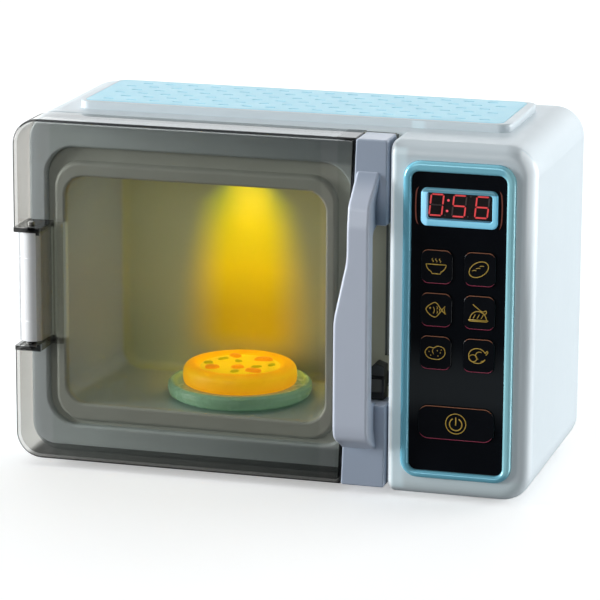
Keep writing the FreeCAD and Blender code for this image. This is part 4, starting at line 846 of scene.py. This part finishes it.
lit_bm, off_bm, dots_bm = bmesh.new(), bmesh.new(), bmesh.new()
for cx, on in ((244.4, "abcdef"), (257.1, "acdfg"), (269.8, "acdefg")):
    for s in "abcdefg":
        pts = [(cx + x + SLANT * z, DIGIT_Z + z) for (x, z) in seg_points(s)]
        prism(lit_bm if s in on else off_bm, pts, Y_SEG - 0.12, Y_SEG + 0.01)
for (dx, dz) in ((251.0, 165.1), (250.35, 159.2)):
    dot(dots_bm, dx, dz, 0.72, Y_SEG + 0.01, 0.14)
for (dx, dz) in ((263.4, 168.0), (262.0, 156.7), (249.2, 156.7)):
    dot(off_bm, dx, dz, 0.5, Y_SEG + 0.01, 0.14)
add_mesh("display_segments_lit", lit_bm, led_red, "casing", smooth=False)
add_mesh("display_segments_dark", off_bm, led_off, "casing", smooth=False)
add_mesh("display_colon", dots_bm, led_dot, "casing")

# ------------------------------------------------- printed lines and painted key-edge reflections on the panel
XC, KEY_DX, KEY_Z = 257.8, 12.1, (128.4, 104.2, 80.0)
Y_KEY = -0.6
bm = bmesh.new()
ribbon(bm, smooth_line([(235.0, 172.2), (233.7, 169.6), (233.3, 162.0), (233.7, 154.0), (235.0, 151.2)], 8), 0.85, 0.31, 0.06, taper=True)
ribbon(bm, smooth_line([(279.9, 172.2), (281.0, 169.6), (281.4, 162.0), (281.0, 154.0), (279.9, 151.0)], 8), 0.85, 0.31, 0.06, taper=True)
add_mesh("display_side_lines", bm, arc_ink, "casing")


def key_lines(body, cx, cz, w, h, r):
    """Painted reflections: a brown line along the upper edge and a red line along the lower edge, running into the
    corners.
    """
    e = 0.42
    hw, hh, rr_ = w / 2 - e, h / 2 - e, r - e
    top = arc(cx - hw + rr_, cz + hh - rr_, rr_, rr_, 150, 90, 10) + arc(cx + hw - rr_, cz + hh - rr_, rr_, rr_, 90, 30, 10)
    low = arc(cx - hw + rr_, cz - hh + rr_, rr_, rr_, 210, 270, 10) + arc(cx + hw - rr_, cz - hh + rr_, rr_, rr_, 270, 330, 10)
    b1, b2 = bmesh.new(), bmesh.new()
    ribbon(b1, top, 0.50, Y_KEY + 0.16, 0.20, taper=True)
    ribbon(b2, low, 0.50, Y_KEY + 0.16, 0.20, taper=True)
    add_mesh(body + "_line_upper", b1, key_edge_reflection_upper, body)
    add_mesh(body + "_line_lower", b2, key_edge_reflection_lower, body)


KEYS = [("soup_key", XC - KEY_DX, KEY_Z[0]), ("bread_key", XC + KEY_DX, KEY_Z[0]), ("fish_key", XC - KEY_DX, KEY_Z[1]),
        ("roast_key", XC + KEY_DX, KEY_Z[1]), ("potato_key", XC - KEY_DX, KEY_Z[2]), ("chicken_key", XC + KEY_DX, KEY_Z[2])]
for (nm, kx, kz) in KEYS:
    key_lines(nm, kx, kz, 17.8, 19.2, 4.2)
key_lines("power_key", XC, 40.5, 43.2, 19.2, 6.0)

IW, IH = 0.55, 0.07
YI = Y_KEY + 0.01


def icon(body, draw, cx, cz, k=0.93):
    b = bmesh.new()
    draw(b, cx, cz)
    c = P(cx, 0.0, cz)
    for v in b.verts:
        v.co.x = c.x + (v.co.x - c.x) * k
        v.co.z = c.z + (v.co.z - c.z) * k
    add_mesh(body + "_picture", b, gold, body)


def draw_soup(b, x, z):
    x -= 0.3
    ribbon(b, [(x - 6.0, z + 1.4), (x + 6.0, z + 1.4)], IW, YI, IH)
    ribbon(b, arc(x, z + 1.4, 6.0, 5.0, 180, 242, 14), IW, YI, IH)
    ribbon(b, arc(x, z + 1.4, 6.0, 5.0, 298, 360, 14), IW, YI, IH)
    ribbon(b, [(x - 2.9, z - 3.1), (x - 2.5, z - 4.2), (x + 2.5, z - 4.2), (x + 2.9, z - 3.1)], IW, YI, IH)
    for dx in (-2.2, 0.0, 2.2):
        ribbon(b, smooth_line([(x + dx, z + 2.5), (x + dx + 0.55, z + 3.4), (x + dx - 0.35, z + 4.3), (x + dx + 0.25, z + 5.3)], 6), 0.45, YI, IH, taper=True)


def draw_bread(b, x, z):
    x -= 0.7
    ribbon(b, arc(x, z, 6.3, 4.1, 0, 360, 44, tilt=32)[:-1], IW, YI, IH, closed=True)
    for k in (-2.6, 0.1, 2.7):
        c, s = math.cos(math.radians(32)), math.sin(math.radians(32))
        mx, mz = x + k * c - 1.0 * s, z + k * s + 1.0 * c
        ribbon(b, smooth_line([(mx - 1.5, mz - 0.55), (mx, mz - 0.05), (mx + 1.5, mz - 0.25)], 6), 0.5, YI, IH, taper=True)


def draw_fish(b, x, z):
    x -= 0.6
    body_ = smooth_line([(x - 5.4, z + 0.3), (x - 2.4, z + 3.5), (x + 0.6, z + 4.4), (x + 3.4, z + 1.0), (x + 4.2, z + 0.2),
                         (x + 3.2, z - 1.2), (x + 0.4, z - 4.2), (x - 2.8, z - 3.2)], 7, closed=True)
    ribbon(b, body_, IW, YI, IH, closed=True)
    ribbon(b, [(x + 4.1, z + 0.3), (x + 6.1, z + 2.6), (x + 5.6, z + 0.2), (x + 6.3, z - 2.3)], IW, YI, IH)
    ribbon(b, [(x + 6.3, z - 2.3), (x + 4.1, z + 0.1)], IW, YI, IH)
    dot(b, x - 3.0, z + 1.0, 0.6, YI, IH)
    ribbon(b, arc(x - 2.6, z - 0.2, 2.2, 2.6, -48, 48, 10), 0.5, YI, IH)
    for (dx, dz) in ((1.5, 1.4), (1.5, -1.2), (2.9, 0.1)):
        ribbon(b, arc(x + dx - 0.9, z + dz, 0.9, 0.9, -60, 60, 8), 0.42, YI, IH)


def draw_roast(b, x, z):
    x -= 0.6
    ribbon(b, [(x - 6.0, z - 4.4), (x - 4.9, z - 5.1), (x + 4.9, z - 5.1), (x + 6.0, z - 4.4)], IW, YI, IH)
    ribbon(b, [(x - 6.0, z - 4.35), (x + 6.0, z - 4.35)], IW, YI, IH)
    ribbon(b, arc(x, z - 4.3, 5.0, 5.2, 180, 0, 26), IW, YI, IH)
    for dx in (-2.4, 0.0, 2.4):
        ribbon(b, [(x + dx - 0.6, z - 3.4), (x + dx + 0.7, z - 1.0)], 0.45, YI, IH)
    ribbon(b, smooth_line([(x - 3.2, z + 4.9), (x - 1.0, z + 3.2), (x + 1.6, z + 1.2), (x + 3.4, z + 0.8)], 6), IW, YI, IH)
    ribbon(b, smooth_line([(x + 3.2, z + 0.8), (x + 4.6, z + 1.5), (x + 5.0, z + 0.3), (x + 4.0, z - 0.6)], 6), IW, YI, IH)


def draw_potato(b, x, z):
    x -= 0.2
    out = smooth_line([(x - 6.0, z + 0.4), (x - 3.8, z + 3.2), (x - 0.9, z + 3.0), (x + 1.8, z + 4.2), (x + 5.3, z + 3.0), (x + 5.9, z - 0.6),
                       (x + 3.4, z - 3.4), (x - 0.4, z - 3.9), (x - 4.4, z - 2.8)], 7, closed=True)
    ribbon(b, out, IW, YI, IH, closed=True)
    ribbon(b, smooth_line([(x - 0.9, z + 2.8), (x - 1.6, z + 0.8), (x - 0.6, z - 1.0)], 6), 0.45, YI, IH, taper=True)
    for (dx, dz) in ((-3.6, 0.6), (-2.6, -1.6), (1.4, 1.4), (3.2, 0.2), (1.8, -1.8), (3.8, 2.0)):
        dot(b, x + dx, z + dz, 0.36, YI, IH, 10)


def draw_chicken(b, x, z):
    x -= 0.6
    ribbon(b, arc(x - 0.1, z + 0.0, 5.2, 4.5, 25, 335, 40), IW, YI, IH)
    ribbon(b, arc(x - 2.7, z - 1.5, 2.4, 2.1, 0, 360, 26)[:-1], IW * 0.9, YI, IH, closed=True)
    ribbon(b, smooth_line([(x + 4.6, z + 1.9), (x + 5.6, z + 3.1), (x + 6.3, z + 2.6), (x + 5.7, z + 1.6), (x + 5.0, z + 0.9)], 6), IW, YI, IH)
    ribbon(b, arc(x + 1.3, z + 0.2, 2.4, 2.3, 60, 250, 18), 0.5, YI, IH)
    ribbon(b, smooth_line([(x + 4.6, z - 1.9), (x + 3.4, z - 2.9), (x + 2.2, z - 3.1)], 6), 0.5, YI, IH)


def draw_power(b, x, z):
    ribbon(b, arc(x, z, 6.1, 6.1, 0, 360, 56)[:-1], IW, YI, IH, closed=True)
    ribbon(b, arc(x, z - 0.3, 3.75, 3.75, 118, 422, 40), 0.7, YI, IH)
    ribbon(b, [(x, z - 1.0), (x, z + 4.0)], 0.7, YI, IH)


for (nm, kx, kz), fn in zip(KEYS, (draw_soup, draw_bread, draw_fish, draw_roast, draw_potato, draw_chicken)):
    icon(nm, fn, kx, kz)
icon("power_key", draw_power, XC, 40.5)

# ------------------------------------------------------------------ toy pizza
TT = (112.0, 72.0)
PZ0 = 34.5
rnd = random.Random(7)


def wob(a, seed, amp):
    r_ = random.Random(seed)
    return amp * sum(r_.uniform(0.4, 1.0) / k * math.sin(k * a + r_.uniform(0, 6.28)) for k in (2, 3, 5, 7, 11)) / 1.8


def crust_material():
    k = Mat("pizza_crust_soft")
    p = k.principled()
    big = k.noise(90.0, 4.0, 0.6, 0.3)
    k.link(k.ramp(big.outputs["Fac"], [(0.28, (0.76, 0.34, 0.004)), (0.5, (0.84, 0.43, 0.006)), (0.72, (0.87, 0.50, 0.010))]), p.inputs["Base Color"])
    k.link(k.span(big.outputs["Fac"], 0.42, 0.58), p.inputs["Roughness"])
    fine = k.noise(700.0, 4.0, 0.6)
    k.link(k.bump(fine.outputs["Fac"], 0.35, 0.00012), p.inputs["Normal"])
    p.inputs["Subsurface Weight"].default_value = 0.12
    p.inputs["Subsurface Radius"].default_value = (0.004, 0.0015, 0.0006)
    x, y, z = k.axes()
    # painted light of the lamp on the crust, as an orange glow that varies with height
    k.link(k.ramp(k.span(z, 0.0, 1.0, 0.036, 0.048), [(0.0, (0.74, 0.24, 0.0)), (0.40, (0.78, 0.35, 0.0)), (0.75, (0.80, 0.44, 0.0)), (1.0, (0.66, 0.27, 0.0))]), p.inputs["Emission Color"])
    p.inputs["Emission Strength"].default_value = 1.0
    return k.m


def cheese_material():
    k = Mat("pizza_cheese_soft")
    p = k.principled()
    big = k.noise(130.0, 4.0, 0.6, 0.6)
    k.link(k.ramp(big.outputs["Fac"], [(0.30, (0.72, 0.43, 0.006)), (0.52, (0.77, 0.52, 0.010)), (0.75, (0.80, 0.60, 0.018))]), p.inputs["Base Color"])
    k.link(k.span(big.outputs["Fac"], 0.30, 0.48), p.inputs["Roughness"])
    fine = k.noise(420.0, 4.0, 0.6)
    k.link(k.bump(fine.outputs["Fac"], 0.3, 0.0002), p.inputs["Normal"])
    p.inputs["Subsurface Weight"].default_value = 0.15
    p.inputs["Subsurface Radius"].default_value = (0.004, 0.002, 0.0006)
    # painted light of the lamp on the cheese, as a yellow glow
    p.inputs["Emission Color"].default_value = (0.50, 0.345, 0.004, 1.0)
    p.inputs["Emission Strength"].default_value = 1.3
    return k.m


crust_mat = crust_material()
cheese_mat = cheese_material()
# the toppings carry painted light of the lamp, as a glow
pepper_mat = plastic("pizza_orange_bits", (0.80, 0.32, 0.008), (0.28, 0.42), 0.12, 200.0, 1500.0, 0.00002, 0.3, emission=(0.58, 0.18, 0.0), emission_strength=1.0)
herb_mat = plastic("pizza_green_bits", (0.46, 0.43, 0.012), (0.35, 0.5), 0.15, 200.0, 1500.0, 0.00002, 0.3, emission=(0.28, 0.24, 0.0), emission_strength=1.0)


def revolve(profile, segs, shape, caps):
    """Turned body about the turntable's axis; shape(r, z, angle) adds the hand-made unevenness."""
    b = bmesh.new()
    rings = []
    for (r, z) in profile:
        row = []
        for i in range(segs):
            a = 2 * math.pi * i / segs
            rr_, zz = shape(r, z, a)
            row.append(b.verts.new(P(TT[0] + rr_ * math.cos(a), TT[1] + rr_ * math.sin(a), PZ0 + zz)))
        rings.append(row)
    for j in range(len(rings) - 1):
        for i in range(segs):
            k = (i + 1) % segs
            b.faces.new((rings[j][i], rings[j][k], rings[j + 1][k], rings[j + 1][i]))
    if caps[0]:
        b.faces.new(list(reversed(rings[0])))
    if caps[1]:
        b.faces.new(rings[-1])
    return b


def crust_shape(r, z, a):
    k = min(1.0, max(0.0, (r - 18.0) / 12.0))
    lift = min(1.0, z / 3.0)
    return r + k * lift * wob(a, 3, 0.42) - 0.25 * k, z + k * lift * wob(a, 5, 0.34) - 0.3 * lift * k


profile = [(27.5, 0.02), (30.6, 0.04), (31.9, 0.25), (32.7, 0.9), (33.15, 1.9), (33.35, 3.2), (33.4, 5.0), (33.35, 6.8), (33.15, 8.2), (32.75, 9.4), (32.1, 10.4),
           (31.2, 11.2), (30.1, 11.75), (28.9, 12.0), (27.7, 11.95), (26.5, 11.65), (25.4, 11.2), (24.4, 10.6), (23.5, 9.9), (22.7, 9.3), (21.0, 9.0), (15.0, 8.9), (7.0, 8.9), (1.0, 8.9)]
b = revolve(profile, 160, crust_shape, (True, True))
crust = add_mesh("pizza_crust", b, crust_mat, "toy_pizza")
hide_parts("toy_pizza")


def cheese_shape(r, z, a):
    edge = min(1.0, r / 22.0)
    n_ = wob(a * 1.0 + r * 0.13, 11, 0.30) + wob(a * 2.0 - r * 0.21, 13, 0.22)
    return r + edge ** 4 * wob(a, 17, 0.9), z + n_ * (0.35 + 0.65 * edge) * (1.0 if r < 22.5 else 0.2)


prof2 = [(0.4, 10.75), (3.0, 10.76), (6.0, 10.75), (9.0, 10.72), (12.0, 10.7), (15.0, 10.66), (17.5, 10.62), (19.5, 10.56), (21.2, 10.42), (22.6, 10.15), (23.5, 9.7), (23.9, 9.2)]
b = revolve(list(reversed(prof2)), 120, cheese_shape, (True, True))
add_mesh("pizza_cheese", b, cheese_mat, "toy_pizza")


def chunk(b, cx, cy, ang, la, lb, h, z, seed):
    """Rounded irregular tablet of topping lying on the cheese."""
    r_ = random.Random(seed)
    n_ = 22
    ph = [r_.uniform(0.82, 1.14) for _ in range(7)]
    rings = []
    for (k, dz) in ((0.96, -0.7), (1.0, 0.0), (0.95, 0.55), (0.78, 0.88), (0.45, 1.0)):
        row = []
        for i in range(n_):
            a = 2 * math.pi * i / n_
            f = a / (2 * math.pi) * 7
            w_ = ph[int(f) % 7] * (1 - f % 1) + ph[(int(f) + 1) % 7] * (f % 1)
            ex = math.copysign(abs(math.cos(a)) ** 0.75, math.cos(a)) * la * k * w_
            ey = math.copysign(abs(math.sin(a)) ** 0.75, math.sin(a)) * lb * k * w_
            x = cx + ex * math.cos(ang) - ey * math.sin(ang)
            y = cy + ex * math.sin(ang) + ey * math.cos(ang)
            row.append(b.verts.new(P(TT[0] + x, TT[1] + y, PZ0 + z + dz * h)))
        rings.append(row)
    for j in range(len(rings) - 1):
        for i in range(n_):
            q = (i + 1) % n_
            b.faces.new((rings[j][i], rings[j][q], rings[j + 1][q], rings[j + 1][i]))
    b.faces.new(list(reversed(rings[0])))
    b.faces.new(rings[-1])


b1, b2 = bmesh.new(), bmesh.new()
for i, (cx, cy, ang, la, lb) in enumerate([(-13.2, -12.0, 0.25, 4.4, 3.4), (1.2, -8.0, 0.8, 4.0, 3.3), (12.2, -13.0, -0.15, 5.2, 3.3), (10.2, 13.0, 0.35, 5.6, 3.4),
                                           (-7.5, 16.0, -0.6, 3.8, 2.6)]):
    chunk(b1, cx, cy, ang, la, lb, 1.35, 10.65, 30 + i)
for i, (cx, cy, ang, la, lb) in enumerate([(-12.6, 8.0, 1.0, 3.4, 1.7), (-18.4, -3.0, 0.4, 2.8, 1.8), (11.0, -4.5, 0.5, 3.2, 1.6), (2.0, -17.8, 0.8, 2.8, 1.5),
                                           (-2.5, 5.0, -0.4, 2.6, 1.4), (18.5, 2.0, 1.2, 2.8, 1.4)]):
    chunk(b2, cx, cy, ang, la, lb, 0.95, 10.65, 60 + i)
add_mesh("pizza_orange_topping", b1, pepper_mat, "toy_pizza")
add_mesh("pizza_green_topping", b2, herb_mat, "toy_pizza")

# ------------------------------------------------------------ light of the lamp
def lamp_light(name, loc, target, sx, sy, energy, color, spread):
    d = bpy.data.lights.new(name, "AREA")
    d.shape = "ELLIPSE"
    d.size, d.size_y = sx, sy
    d.energy = energy
    d.color = color
    d.spread = math.radians(spread)
    o = bpy.data.objects.new(name, d)
    scene.collection.objects.link(o)
    o.location = loc
    o.rotation_euler = (target - loc).to_track_quat("-Z", "Y").to_euler()
    o.visible_camera = False
    o.visible_glossy = False


lamp_light("lamp_beam", P(105.0, 108.0, 156.5), P(105.0, 114.0, 60.0), 0.024, 0.008, 0.012, (1.0, 0.64, 0.02), 60.0)
lamp_light("lamp_on_food", P(110.0, 52.0, 154.0), P(112.0, 70.0, 42.0), 0.020, 0.014, 0.0065, (1.0, 0.66, 0.06), 44.0)
lamp_light("lamp_fill", P(98.0, 50.0, 157.0), P(98.0, 70.0, 60.0), 0.10, 0.05, 0.015, (0.86, 1.0, 1.0), 170.0)

# -------------------------------------------------------------------- floor
b = bmesh.new()
s = 9.0
vs = [b.verts.new((x, y, -0.0003)) for (x, y) in ((-s, -s), (s, -s), (s, s), (-s, s))]
b.faces.new(vs)
me = bpy.data.meshes.new("floor")
b.to_mesh(me)
b.free()
floor = bpy.data.objects.new("floor", me)
scene.collection.objects.link(floor)
k = Mat("studio_floor")
p = k.principled()
nz = k.noise(3.0, 3.0, 0.5)
k.link(k.ramp(nz.outputs["Fac"], [(0.3, (0.90, 0.90, 0.895)), (0.7, (0.92, 0.92, 0.915))]), p.inputs["Base Color"])
p.inputs["Emission Color"].default_value = (1.0, 1.0, 1.0, 1.0)
p.inputs["Emission Strength"].default_value = 0.37
p.inputs["Roughness"].default_value = 0.75
p.inputs["Specular IOR Level"].default_value = 0.2
me.materials.append(k.m)
floor.visible_glossy = False
floor.visible_diffuse = False
floor.visible_shadow = False

# ---------------------------------------------------------------------- end
bpy.context.view_layer.update()
